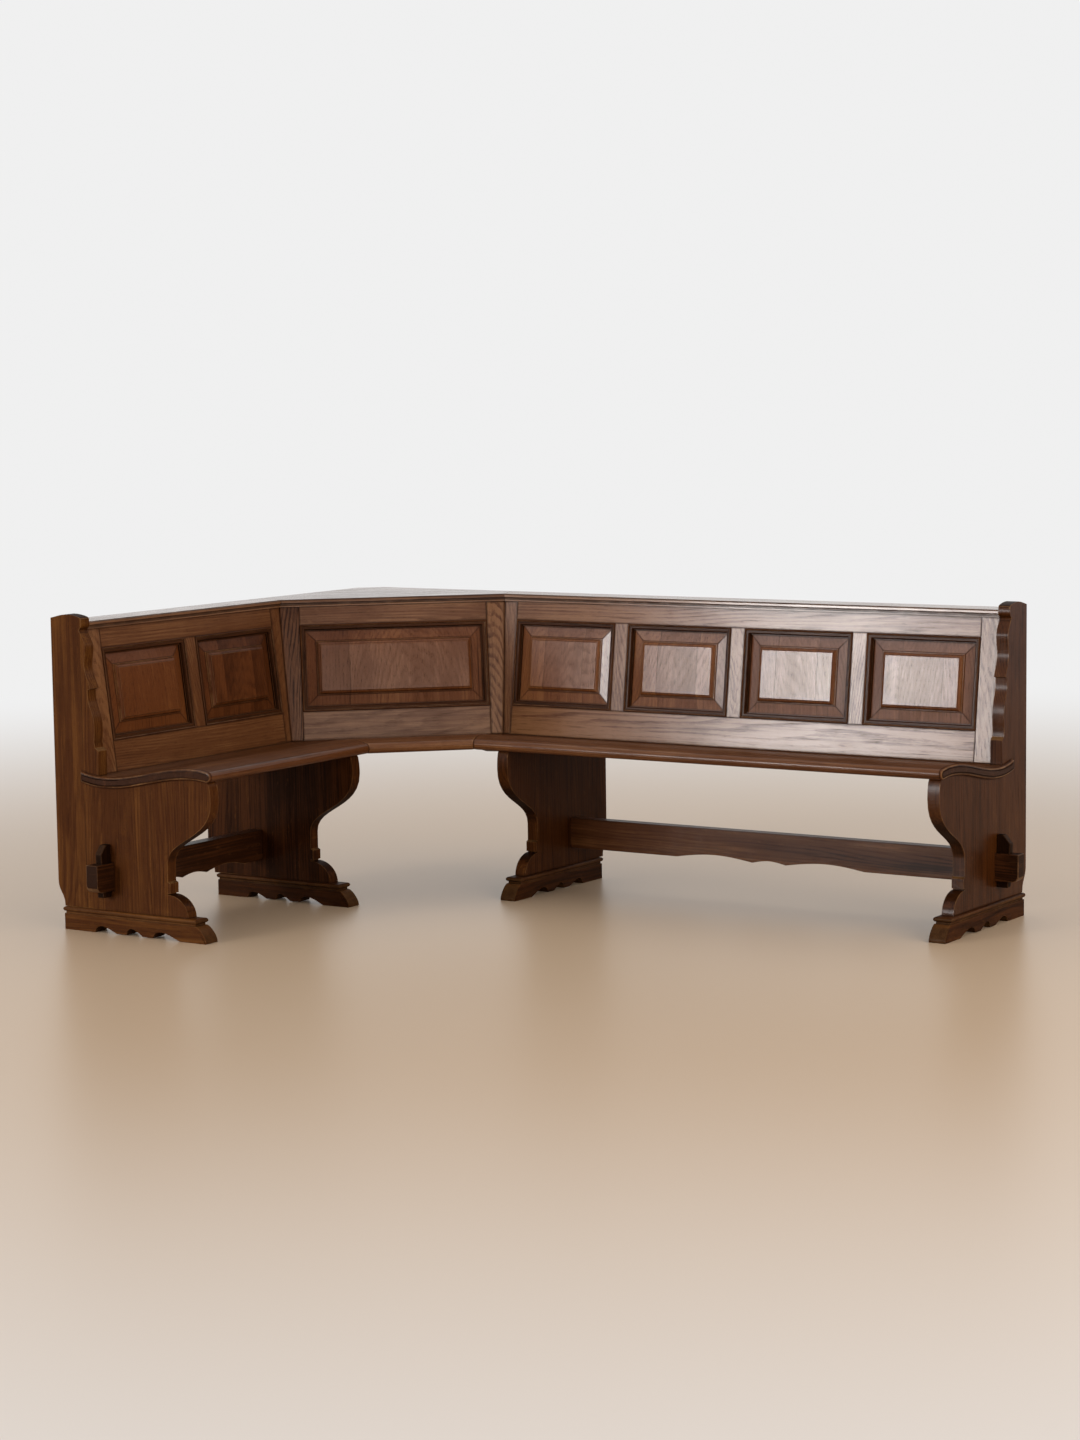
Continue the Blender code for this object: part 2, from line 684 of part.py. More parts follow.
def bearer(run, parent):
    """A batten under a seat seam that carries the corner's seat and follows the dish of both seats."""
    along = Vector((run.hand * TAN_MITRE, -1.0, 0.0))
    across = Vector((run.hand, TAN_MITRE, 0.0)).normalized()
    start = Vector((run.hand * CORNER_WALL, 0.0, 0.0))
    loops = []
    for depth in np.linspace(BEARER_BACK_DEPTH, BEARER_FRONT_DEPTH, 21):
        middle = start + along * depth
        floor = seat_height(depth) - SEAT_THICK - BEARER_DEEP
        loop = []
        for away in (-BEARER_WIDE / 2, 0.0, BEARER_WIDE / 2):
            under = seat_height(depth - abs(away) * math.sin(MITRE)) - SEAT_THICK - BEARER_FIT
            loop.append((middle + across * away) + Vector((0, 0, under)))
        loop.append(middle + across * BEARER_WIDE / 2 + Vector((0, 0, floor)))
        loop.append(middle - across * BEARER_WIDE / 2 + Vector((0, 0, floor)))
        loops.append(loop)
    place(f"corner_bearer_{run.name}_side", lofted(loops), parent, LEG_OAK)


# Caps and shelf

def cap_section(back):
    """Section of a cap board as (depth, height) points: a lip over a small cove and a flat at the front."""
    lip_bottom = CAP_TOP - CAP_LIP
    under = CAP_REACH - CAP_LIP_STEP - CAP_COVE
    bend = (under, lip_bottom)
    cove = bezier((under, CAP_UNDER + CAP_FILLET), bend, bend, (under + CAP_COVE, lip_bottom), 4)
    round_off = CAP_LIP / 3
    edge = [(CAP_REACH, lip_bottom), (CAP_REACH, CAP_TOP - round_off), (CAP_REACH - round_off, CAP_TOP)]
    flat = [(under + CAP_LIP_STEP, CAP_UNDER), (under + CAP_LIP_STEP, CAP_UNDER + CAP_FILLET)]
    return [(back, CAP_UNDER), *flat, (under, CAP_UNDER + CAP_FILLET), *cove, *edge, (back, CAP_TOP)]


def run_cap(run, parent):
    """A cap board from the mitre to the end board."""
    bm = prism(to_room(cap_section(0.0)), "X", 0.0, run.hand * (run.length - BOARD - FIT))
    place(f"{run.name}_cap", trim(bm, run_mitre(run)), parent, FRAME_OAK)


def corner_shelf(parent):
    """A shelf that fills the corner behind the diagonal back; its front edge is the cap."""
    bm = prism(to_room(cap_section(SHELF_CLIP - CORNER_HALF)), "X", -CORNER_HALF, CORNER_HALF)
    for side in (-1, 1):
        trim(bm, corner_mitre(side))
        trim(bm, (Vector((side * CORNER_HALF, 0.0, 0.0)), Vector((side, 1.0, 0.0)).normalized()))
    place("corner_shelf", bm, parent, FRAME_OAK)


# Backs

OPENING_TOP = -TOP_RAIL
OPENING_BOTTOM = -TOP_RAIL - OPENING
FRAME_BOTTOM = -(CAP_UNDER - SEAT_LOW_HEIGHT) / math.cos(RECLINE) - FRAME_THICK


def grooved(edge, way, back):
    """Half of a frame member's section round one grooved edge, from its front to its rear face."""
    deep = edge - way * GROOVE_DEEP
    return [(edge, 0.0), (edge, GROOVE_FRONT), (deep, GROOVE_FRONT), (deep, GROOVE_FRONT + GROOVE_WIDE),
            (edge, GROOVE_FRONT + GROOVE_WIDE), (edge, back)]


def stub_tenon(low, high, start, stop, axis):
    """A long tongue inside a rail or muntin whose two ends stand out as stub tenons."""
    front, rear = GROOVE_FRONT + FIT, GROOVE_FRONT + GROOVE_WIDE - FIT
    if axis == "X":
        return box((start, front, low), (stop, rear, high))
    return box((low, front, start), (high, rear, stop))


def stile(name, parent, opening_edge, outer_edge, planes):
    """An upright at one end of a frame, grooved on its opening edge and trimmed by the planes it meets."""
    way = math.copysign(1, opening_edge - outer_edge)
    section = grooved(opening_edge, way, FRAME_THICK) + [(outer_edge, FRAME_THICK), (outer_edge, 0.0)]
    bm = prism(section, "Z", FRAME_BOTTOM, 0.0)
    for plane in planes:
        trim(bm, on_back(plane))
    place(name, bm, parent, FRAME_OAK)


def rail(name, parent, left, right, section, tongue, planes):
    """A rail between two stiles. section is (thickness, height) and tongue the heights of its stub tenons."""
    bm = prism(section, "X", left + FIT, right - FIT)
    for plane in planes:
        trim(bm, on_back(plane))
    piece = place(name, bm, parent, FRAME_OAK)
    reach = GROOVE_DEEP - FIT
    shape_with(piece, stub_tenon(*tongue, left - reach, right + reach, "X"), "UNION")


def rails(name, parent, left, right):
    """Top and bottom rail of a frame whose outer openings end at left and right."""
    top_section = [(y, z) for z, y in grooved(OPENING_TOP, -1, FRAME_THICK)]
    top_section += [(FRAME_THICK, 0.0), (0.0, 0.0)]
    top_tongue = (OPENING_TOP + GROOVE_DEEP + FIT, -FLUSH)
    rail(f"{name}_top_rail", parent, left, right, top_section, top_tongue, ())
    low_section = [(y, z) for z, y in grooved(OPENING_BOTTOM, 1, FRAME_THICK)]
    low_section += [(FRAME_THICK, FRAME_BOTTOM), (0.0, FRAME_BOTTOM)]
    seat_at = max(seat_on_back(0.0), seat_on_back(GROOVE_FRONT + GROOVE_WIDE))
    low_tongue = (seat_at + TONGUE_RISE, OPENING_BOTTOM - GROOVE_DEEP - FIT)
    rail(f"{name}_bottom_rail", parent, left, right, low_section, low_tongue, (seat_plane(),))


def muntin(name, parent, left, right):
    """An upright between two openings, with stub tenons in the rails' grooves."""
    section = grooved(right, 1, FRAME_THICK) + list(reversed(grooved(left, -1, FRAME_THICK)))
    piece = place(name, prism(section, "Z", OPENING_BOTTOM + FIT, OPENING_TOP - FIT), parent, FRAME_OAK)
    reach = GROOVE_DEEP - FIT
    tongue = (left + GROOVE_DEEP + FIT, right - GROOVE_DEEP - FIT)
    shape_with(piece, stub_tenon(*tongue, OPENING_BOTTOM - reach, OPENING_TOP + reach, "Z"), "UNION")


def rectangle(left, right, inset, thickness):
    """Corners of an opening's rectangle, drawn in by an inset, at a depth behind the frame's face."""
    low, high = OPENING_BOTTOM + inset, OPENING_TOP - inset
    return [(left + inset, thickness, low), (right - inset, thickness, low),
            (right - inset, thickness, high), (left + inset, thickness, high)]


def panel(name, parent, left, right):
    """A raised and fielded panel whose thin edges stand in the frame's grooves."""
    tongue = PANEL_PLAY - GROOVE_DEEP
    front, rear = GROOVE_FRONT + FIT, GROOVE_FRONT + GROOVE_WIDE - FIT
    bevel_start = MOULDING_WIDE + 2 * FIT
    bevel_end = bevel_start + BEVEL_WIDE
    crest = front - BEVEL_RISE
    steps = [(tongue, rear), (tongue, front), (bevel_start, front), (bevel_end, crest)]
    steps += [(bevel_end + wide * FIELD_EDGE, crest - high * FIELD_RISE) for wide, high in FIELD_PROFILE]
    loops = [rectangle(left, right, inset, thickness) for inset, thickness in steps]
    place(name, lofted(loops), parent, PANEL_OAK)


def moulding(name, parent, left, right):
    """A mitred frame of moulding that lies in an opening, in front of the panel's edge."""
    rear = GROOVE_FRONT - FIT
    bead, quirk = MOULDING_BEAD, MOULDING_QUIRK
    flat = MOULDING_WIDE - MOULDING_FILLET
    steps = [(FIT, rear), (FIT, -MOULDING_PROUD / 2), (bead / 2, -MOULDING_PROUD), (bead, -MOULDING_PROUD / 2)]
    steps += [(bead, quirk), (bead + quirk, quirk), (bead + quirk, 0.0), (bead + 2 * quirk, 0.0)]
    steps += bezier(steps[-1], (flat, 0.0), (flat, 0.0), (flat, MOULDING_FALL - quirk), 6)
    steps += [(flat, MOULDING_FALL), (MOULDING_WIDE, MOULDING_FALL), (MOULDING_WIDE, rear)]
    loops = [rectangle(left, right, inset, thickness) for inset, thickness in steps]
    place(name, lofted(loops, ring=True), parent, FRAME_OAK)


def openings(name, parent, left, right, count):
    """Muntins, panels and mouldings between the outer stiles of a frame."""
    wide = (right - left - (count - 1) * MUNTIN) / count
    for i in range(count):
        start = left + i * (wide + MUNTIN)
        number = f"_{i + 1}" if count > 1 else ""
        panel(f"{name}_panel{number}", parent, start, start + wide)
        moulding(f"{name}_panel_moulding{number}", parent, start, start + wide)
        if i + 1 < count:
            muntin(f"{name}_muntin{number if count > 2 else ''}", parent, start + wide, start + wide + MUNTIN)


def opening_depth():
    """Depth of the back's front face at the top of the openings."""
    return frame_front(CAP_UNDER - FIT - TOP_RAIL * math.cos(RECLINE))


def run_back(run, parent):
    """The reclined frame of a straight bench, from the mitre to the end board."""
    back = empty(f"{run.name}_back", parent, BACK_PLACE, lean=-RECLINE)
    near = CORNER_WALL + opening_depth() * TAN_MITRE + RUN_MITRE_STILE
    end = run.length - BOARD - FIT
    far = end - END_STILE
    stile(f"{run.name}_corner_stile", back, run.hand * near, 0.0, (run_mitre(run), seat_plane()))
    stile(f"{run.name}_end_stile", back, run.hand * far, run.hand * end, (seat_plane(),))
    left, right = sorted((run.hand * near, run.hand * far))
    rails(run.name, back, left, right)
    openings(run.name, back, left, right, run.panels)


def corner_back(parent):
    """The reclined frame of the corner unit, mitred at both ends."""
    back = empty("corner_back", parent, BACK_PLACE, lean=-RECLINE)
    edge = CORNER_HALF - opening_depth() * TAN_MITRE - CORNER_MITRE_STILE
    for side, name in ((-1, "short"), (1, "long")):
        planes = (corner_mitre(side), seat_plane())
        stile(f"corner_{name}_side_stile", back, side * edge, side * CORNER_HALF, planes)
    rails("corner", back, -edge, edge)
    openings("corner", back, -edge, edge, 1)


def coupling_plate(run, level, drop, parent):
    """A bent steel plate behind a seam, on the rear faces of both stiles."""
    across = Vector((run.hand, TAN_MITRE, 0.0)).normalized()
    seam = Vector((run.hand * CORNER_WALL, 0.0, 0.0))
    loops = []
    for place_on in ("run", "seam", "corner"):
        loop = []
        for back, low in ((0, 1), (1, 1), (1, 0), (0, 0)):
            local = Vector((0.0, FRAME_THICK + FIT + back * PLATE_THICK, -drop - PLATE_TALL * low))
            spot = BACK_MATRIX @ local
            spot.x = run.hand * (CORNER_WALL - spot.y * TAN_MITRE)
            if place_on != "seam":
                spot.x += run.hand * PLATE_LEG
            if place_on == "corner":
                spot -= 2 * across * (spot - seam).dot(across)
            loop.append(spot)
        loops.append(loop)
    place(f"coupling_plate_{run.name}_side_{level}", lofted(loops), parent, STEEL)


# The whole bench

def straight_bench(run, wall_corner):
    """One straight bench with its own guide at the wall corner."""
    unit = empty(f"{run.name}_bench", wall_corner, (0.0, 0.0, 0.0), turn=run.turn)
    end_middle = run.hand * (run.length - BOARD / 2)
    inner_middle = run.hand * run.leg
    leg(f"{run.name}_end_board", end_board_outline(), end_middle, unit)
    leg(f"{run.name}_inner_leg", inner_leg_outline(), inner_middle, unit)
    foot(f"{run.name}_end_foot", end_middle, FOOT_BACK, FOOT_LONG, unit)
    foot(f"{run.name}_inner_foot", inner_middle, INNER_FOOT_BACK, INNER_FOOT_LONG, unit)
    stretcher(run, unit)
    run_seat(run, unit)
    run_back(run, unit)
    run_cap(run, unit)
    bearer(run, unit)
    coupling_plate(run, "upper", PLATE_DROP, unit)
    coupling_plate(run, "lower", -seat_on_back(0.0) - PLATE_RISE - PLATE_TALL, unit)


def corner_unit(wall_corner):
    """The diagonal unit between the two benches."""
    middle = CORNER_WALL / 2
    unit = empty("corner_unit", wall_corner, (middle, -middle, 0.0), turn=math.pi / 4)
    corner_seat(unit)
    corner_back(unit)
    corner_shelf(unit)


def main():
    """Clears the scene and builds the bench round the middle of its outline."""
    for old in list(bpy.data.objects):
        bpy.data.objects.remove(old, do_unlink=True)
    reach_x = LONG_RUN + TENON_OUT
    reach_y = SHORT_RUN + TENON_OUT
    wall_corner = empty("wall_corner", None, (-reach_x / 2, reach_y / 2, 0.0))
    straight_bench(LONG, wall_corner)
    straight_bench(SHORT, wall_corner)
    corner_unit(wall_corner)


main()
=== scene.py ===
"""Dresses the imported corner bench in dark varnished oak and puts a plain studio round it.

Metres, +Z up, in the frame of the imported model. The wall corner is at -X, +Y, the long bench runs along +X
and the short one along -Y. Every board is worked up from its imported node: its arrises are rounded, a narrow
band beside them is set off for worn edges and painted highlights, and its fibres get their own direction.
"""

import logging
import math
from dataclasses import dataclass, replace
from enum import Enum

import bmesh
import bpy
from mathutils import Matrix, Vector
from mathutils.bvhtree import BVHTree


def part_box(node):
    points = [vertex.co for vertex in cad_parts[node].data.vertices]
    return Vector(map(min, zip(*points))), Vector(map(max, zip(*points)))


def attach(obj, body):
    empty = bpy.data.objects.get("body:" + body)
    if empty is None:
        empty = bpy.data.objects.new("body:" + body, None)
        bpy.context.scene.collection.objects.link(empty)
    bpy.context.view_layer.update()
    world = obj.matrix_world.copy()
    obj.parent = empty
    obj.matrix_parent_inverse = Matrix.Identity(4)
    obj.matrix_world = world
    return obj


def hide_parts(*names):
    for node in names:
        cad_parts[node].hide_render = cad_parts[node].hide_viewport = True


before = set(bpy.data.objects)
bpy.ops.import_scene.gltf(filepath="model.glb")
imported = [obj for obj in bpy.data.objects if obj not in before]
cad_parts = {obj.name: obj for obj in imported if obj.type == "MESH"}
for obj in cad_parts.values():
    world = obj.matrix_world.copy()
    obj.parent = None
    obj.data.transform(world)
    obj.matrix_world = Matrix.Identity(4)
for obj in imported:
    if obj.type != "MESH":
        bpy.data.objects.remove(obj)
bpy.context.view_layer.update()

Colour = tuple[float, float, float]
Spot = tuple[float, float, float]
Sockets = bpy.types.bpy_prop_collection

LOG = logging.getLogger("corner_bench")

# Turns
RECLINE = math.radians(7.5)
MITRE = math.radians(22.5)
CREASE = math.radians(26)
PANEL_CREASE = math.radians(4)
FLAT = math.radians(0.4)  # faces that turn less than this are one face
SMOOTH = math.radians(60)  # shading runs over turns up to this
PLATE_SMOOTH = math.radians(40)
SCREW_SMOOTH = math.radians(35)
SOFT_TURN = 11.0  # degrees: a smaller turn is no arris, and twice as much is a full one
SCREW_TURN = 40.0  # radians from one screw to the next, so that their slots lie as they came

# Lengths
MERGE = 1e-5  # corners nearer than this are one corner
FLUSH = 0.002  # allowance where a surface is told from the one beside it
TENON = 0.106  # from a stretcher's end to its shoulder
SEAM = 0.007  # width of the line of grime and painted shade where two units meet
CAP_LIP = 0.010  # height of a cap's front lip
CAP_EDGE = 0.012  # depth of a cap's moulded front edge
CAP_COVE = 0.0078  # height of the cove under the lip
RING = 0.0054  # width of a year's growth
PITH = (0.0, -0.45, 0.075)  # from the heart of a log to the middle of its timber

# Shares
BAND_ROOM = 3  # a stretch of surface gets a band if it is this many bands wide
LEAST_DIRT_AND_SHADE = 0.1
CAP_PAINTED_SHADE = 0.85  # painted shadow in a cap's cove and painted dark reflection on its upper arris
CAP_ARRIS = (0.30, 0.96)  # upward part of the normal there
OVAL = (0.0, 0.55, 1.0)  # flattening of the growth rings
TAPER = 0.013  # how fast a log narrows
END_GRAIN = (0.45, 0.95)  # part of the normal along the fibres, where end grain starts and where it is full
FLECK_COVER = 0.22  # how far each mark covers the colour under it
PORE_COVER = 0.55
GLUE_COVER = 0.85
DIRT_AND_SHADE_COVER = 0.82
SCREWED_FACE = 0.6  # a plate's face takes screws if it is this large beside the largest
REARWARD = 0.5  # and turns to the wall by this much

# Colours: white, what lies in pores and glue lines, and grime with painted shade in hollows and joints
WHITE = (1.0, 1.0, 1.0, 1.0)
PORE = (0.015, 0.0056, 0.0024, 1.0)
GLUE = (0.008, 0.004, 0.002, 1.0)
DIRT_AND_SHADE = (0.012, 0.0048, 0.0022, 1.0)

# Arrises and bands of boards that come more than once
SEAT_EDGES = {"round_off": 0.0022, "band": 0.008}
PANEL_EDGES = {"round_off": 0.0006, "crease": PANEL_CREASE, "band": 0.003, "hidden": 0.012}
MOULDING_EDGES = {"round_off": 0.0006, "band": 0.002}
CAP_EDGES = {"round_off": 0.0007, "band": 0.0018, "joint": 0.0018, "capping": True}
SEAM_EDGES = {"band": SEAM, "joint": SEAM}
LEG_EDGES = {"round_off": 0.0018}
FOOT_EDGES = {"round_off": 0.0016}
KEY_EDGES = {"round_off": 0.0020}


class Wing(Enum):
    """The three units of the bench, by the turn of their front about the vertical."""

    LONG = 0.0
    CORNER = 45.0
    SHORT = 90.0

    def ways(self) -> tuple[Vector, Vector, Vector]:
        """Unit vectors along the unit, to the wall behind it and up."""
        turn = Matrix.Rotation(math.radians(self.value), 3, "Z")
        return turn @ Vector((1, 0, 0)), turn @ Vector((0, 1, 0)), Vector((0, 0, 1))


class Lie(Enum):
    """How a board lies in its unit, which gives the direction of its fibres."""

    RAIL = "along the unit, in the slope of the back"
    UPRIGHT = "up the slope of the back"
    TOP = "along the unit, lying flat"
    STRETCHER = "along the unit, on edge"
    LEG = "straight up, across the unit"
    FOOT = "from the wall to the room"
    KEY = "straight up, along the unit"
    FRAMED = "round an opening in the slope of the back"

    def axes(self, wing: Wing) -> Matrix:
        """Turns room coordinates into fibre, face and thickness coordinates.

        Args:
            wing: The unit that the board belongs to.

        Returns:
            A matrix whose rows run along the fibres, across the face and through the board.
        """
        along, wall, up = wing.ways()
        slope = (up * math.cos(RECLINE) + wall * math.sin(RECLINE)).normalized()
        rows = {
            Lie.RAIL: (along, slope, wall),
            Lie.UPRIGHT: (slope, along, wall),
            Lie.TOP: (along, wall, up),
            Lie.STRETCHER: (along, up, wall),
            Lie.LEG: (up, wall, along),
            Lie.FOOT: (wall, up, along),
            Lie.KEY: (up, along, wall),
            Lie.FRAMED: (slope, along, wall),
        }
        return Matrix(rows[self])


class Grain(Enum):
    """Noises of the oak and the steel.

    Each has its cells per metre along three axes, its number of finer layers, their strength and how far the
    cells are bent.
    """

    OPENING = ((3.0, 0.0, 0.0), 1.0, 0.5, 0.0)
    SWAY = ((1.3, 7.0, 7.0), 2.0, 0.5, 0.0)
    RIPPLE = ((5.0, 42.0, 42.0), 2.0, 0.5, 0.0)
    UNEVEN = ((0.4, 16.0, 16.0), 2.0, 0.5, 0.0)
    STRENGTH = ((0.7, 55.0, 55.0), 1.0, 0.5, 0.0)
    FINE = ((4.0, 230.0, 230.0), 3.0, 0.62, 0.0)
    BROAD = ((0.9, 40.0, 40.0), 2.0, 0.55, 0.0)
    DASHES = ((40.0, 1300.0, 1300.0), 1.0, 0.5, 0.0)
    LONG_DASHES = ((8.0, 400.0, 400.0), 1.0, 0.5, 0.0)
    FLAKES = ((34.0, 95.0, 12.0), 1.0, 0.4, 0.6)
    PATCHES = ((9.0, 16.0, 16.0), 3.0, 0.6, 0.0)
    CLOUDS = ((2.2, 6.5, 6.5), 4.0, 0.6, 0.0)
    WORN = ((17.0, 17.0, 17.0), 4.0, 0.6, 0.0)
    GRAINY = ((120.0, 260.0, 260.0), 2.0, 0.6, 0.0)
    TARNISH = ((35.0, 35.0, 35.0), 4.0, 0.6, 0.0)
    DRAWN = ((900.0, 900.0, 30.0), 2.0, 0.5, 0.0)


class Wiring:
    """A node tree under construction, with short calls for the nodes that the finishes use."""

    def __init__(self, tree: bpy.types.NodeTree) -> None:
        """Keeps the tree and clears it."""
        self.tree = tree
        tree.nodes.clear()

    def node(self, kind: str, settings: dict | None = None, **inputs: object) -> bpy.types.Node:
        """Adds a node.

        Args:
            kind: Blender's name of the node's type.
            settings: Values of the node's own properties.
            inputs: Values or sockets for the inputs, named with _ for spaces.

        Returns:
            The new node.
        """
        made = self.tree.nodes.new(kind)
        for name, value in (settings or {}).items():
            setattr(made, name, value)
        for name, value in inputs.items():
            self.put(made.inputs[name.replace("_", " ")], value)
        return made

    def put(self, socket: bpy.types.NodeSocket, value: object) -> None:
        """Links a socket to an input, or sets the input's own value.

        Args:
            socket: The input.
            value: A socket to link to it, or a value.
        """
        if isinstance(value, bpy.types.NodeSocket):
            self.tree.links.new(value, socket)
        else:
            socket.default_value = value

    def math(self, operation: str, *values: object, clamp: bool = False) -> bpy.types.NodeSocket:
        """A Math node's result for up to three values or sockets.

        Args:
            operation: Blender's name of the operation.
            values: Values or sockets, in the node's order.
            clamp: Whether the result stays between 0 and 1.

        Returns:
            The node's output.
        """
        made = self.node("ShaderNodeMath", {"operation": operation, "use_clamp": clamp})
        for socket, value in zip(made.inputs, values):
            self.put(socket, value)
        return made.outputs[0]

    def times(self, first: object, second: object, clamp: bool = False) -> bpy.types.NodeSocket:
        """The product of two values."""
        return self.math("MULTIPLY", first, second, clamp=clamp)

    def scaled(self, value: object, factor: object, base: object) -> bpy.types.NodeSocket:
        """A value times a factor, added to a base."""
        return self.math("MULTIPLY_ADD", value, factor, base)

    def vector(self, operation: str, *values: object) -> Sockets:
        """The outputs of a Vector Math node for one or two vectors or sockets.

        Args:
            operation: Blender's name of the operation.
            values: Vectors or sockets, in the node's order.

        Returns:
            The node's outputs, a vector and a value.
        """
        made = self.node("ShaderNodeVectorMath", {"operation": operation})
        for socket, value in zip(made.inputs, values):
            self.put(socket, value)
        return made.outputs

    def stretch(self, vector: bpy.types.NodeSocket, scale: Spot) -> bpy.types.NodeSocket:
        """A vector multiplied by a scale for each axis."""
        return self.vector("MULTIPLY", vector, scale)[0]

    def shift(self, vector: bpy.types.NodeSocket, by: object) -> bpy.types.NodeSocket:
        """A vector with another one added."""
        return self.vector("ADD", vector, by)[0]

    def effect(self, effect: "Effect", **inputs: object) -> Sockets:
        """The outputs of a shared effect, for values or sockets by name."""
        return self.node("ShaderNodeGroup", {"node_tree": effect.group()}, **inputs).outputs

    def noise(self, vector: bpy.types.NodeSocket, grain: Grain) -> bpy.types.NodeSocket:
        """Cloudy noise from 0 to 1.

        Args:
            vector: Where the noise is read.
            grain: Which noise.

        Returns:
            The noise.
        """
        scale, detail, roughness, distortion = grain.value
        made = self.node("ShaderNodeTexNoise", Vector=self.stretch(vector, scale), Scale=1.0, Detail=detail,
                         Roughness=roughness, Distortion=distortion)
        return made.outputs["Fac"]

    def ramp(self, value: object, low: float, high: float, start: float = 0.0,
             end: float = 1.0) -> bpy.types.NodeSocket:
        """A smooth step from start to end while the value goes from low to high.

        Args:
            value: What the step follows.
            low: Value at which it starts.
            high: Value at which it ends.
            start: Result up to low.
            end: Result from high on.

        Returns:
            The step's result.
        """
        made = self.node("ShaderNodeMapRange", {"interpolation_type": "SMOOTHSTEP"}, Value=value,
                         From_Min=low, From_Max=high, To_Min=start, To_Max=end)
        return made.outputs["Result"]

    def mix(self, share: object, first: object, second: object) -> bpy.types.NodeSocket:
        """Two colours mixed by a share.

        Args:
            share: Share of the second colour.
            first: The first colour.
            second: The second colour.

        Returns:
            The mixed colour.
        """
        made = self.node("ShaderNodeMix", {"data_type": "RGBA"})
        for socket, value in zip((made.inputs[0], made.inputs[6], made.inputs[7]), (share, first, second)):
            self.put(socket, value)
        return made.outputs[2]


class Effect(Enum):
    """Effects that several finishes share, each a node group that is built once."""

    STAVES = "glued_up_staves"
    FIGURE = "oak_figure"
    ARRISES = "worn_arrises"
    STAIN = "oak_stain"

    def group(self) -> bpy.types.NodeTree:
        """The effect's node group, built at the first call.

        Returns:
            The group.
        """
        found = bpy.data.node_groups.get(self.value)
        if found is None:
            found = bpy.data.node_groups.new(self.value, "ShaderNodeTree")
            builders = {Effect.STAVES: build_staves, Effect.FIGURE: build_figure,
                        Effect.ARRISES: build_arrises, Effect.STAIN: build_stain}
            builders[self](found)
        return found


def open_group(tree: bpy.types.NodeTree, inputs: dict[str, str],
               outputs: dict[str, str]) -> tuple[Wiring, Sockets, Sockets]:
    """Gives a node group its sockets.

    Args:
        tree: The empty group.
        inputs: Names of the sockets, apart by spaces, by their kind, such as {"Float": "Seed Width"}.
        outputs: The same for what the group gives back.

    Returns:
        The wiring, the sockets that the group is given and those that take its results.
    """
    for direction, sockets in (("INPUT", inputs), ("OUTPUT", outputs)):
        for kind, names in sockets.items():
            for name in names.split():
                tree.interface.new_socket(name, in_out=direction, socket_type=f"NodeSocket{kind}")
    wires = Wiring(tree)
    return wires, wires.node("NodeGroupInput").outputs, wires.node("NodeGroupOutput").inputs


def build_staves(tree: bpy.types.NodeTree) -> None:
    """Staves of one width, glued edge to edge: each has its own place in the timber and its own tone.

    Args:
        tree: The empty group.
    """
    wires, given, result = open_group(tree, {"Vector": "Board", "Float": "Seed Width Phase Line"},
                                      {"Vector": "Timber", "Float": "Tone Joint"})
    parts = wires.node("ShaderNodeSeparateXYZ", Vector=given["Board"])
    count = wires.math("DIVIDE", parts.outputs["Y"], given["Width"])
    count = wires.math("ADD", count, given["Phase"])
    which = wires.math("FLOOR", count)
    key = wires.scaled(given["Seed"], 7.31, which)
    chance = wires.node("ShaderNodeTexWhiteNoise", {"noise_dimensions": "1D"}, W=key)
    spread = wires.stretch(chance.outputs["Color"], (40.0, 0.9, 0.05))
    timber = wires.shift(given["Board"], spread)
    wires.put(result["Timber"], timber)
    wires.put(result["Tone"], chance.outputs["Value"])
    inside = wires.math("PINGPONG", count, 0.5)
    edge = wires.times(inside, given["Width"])
    opened = wires.ramp(wires.noise(timber, Grain.OPENING), 0.42, 0.60, 0.15, 1.0)
    line = wires.math("DIVIDE", edge, given["Line"])
    wires.put(result["Joint"], wires.times(wires.ramp(line, 0.25, 1.0, 1.0, 0.0), opened))


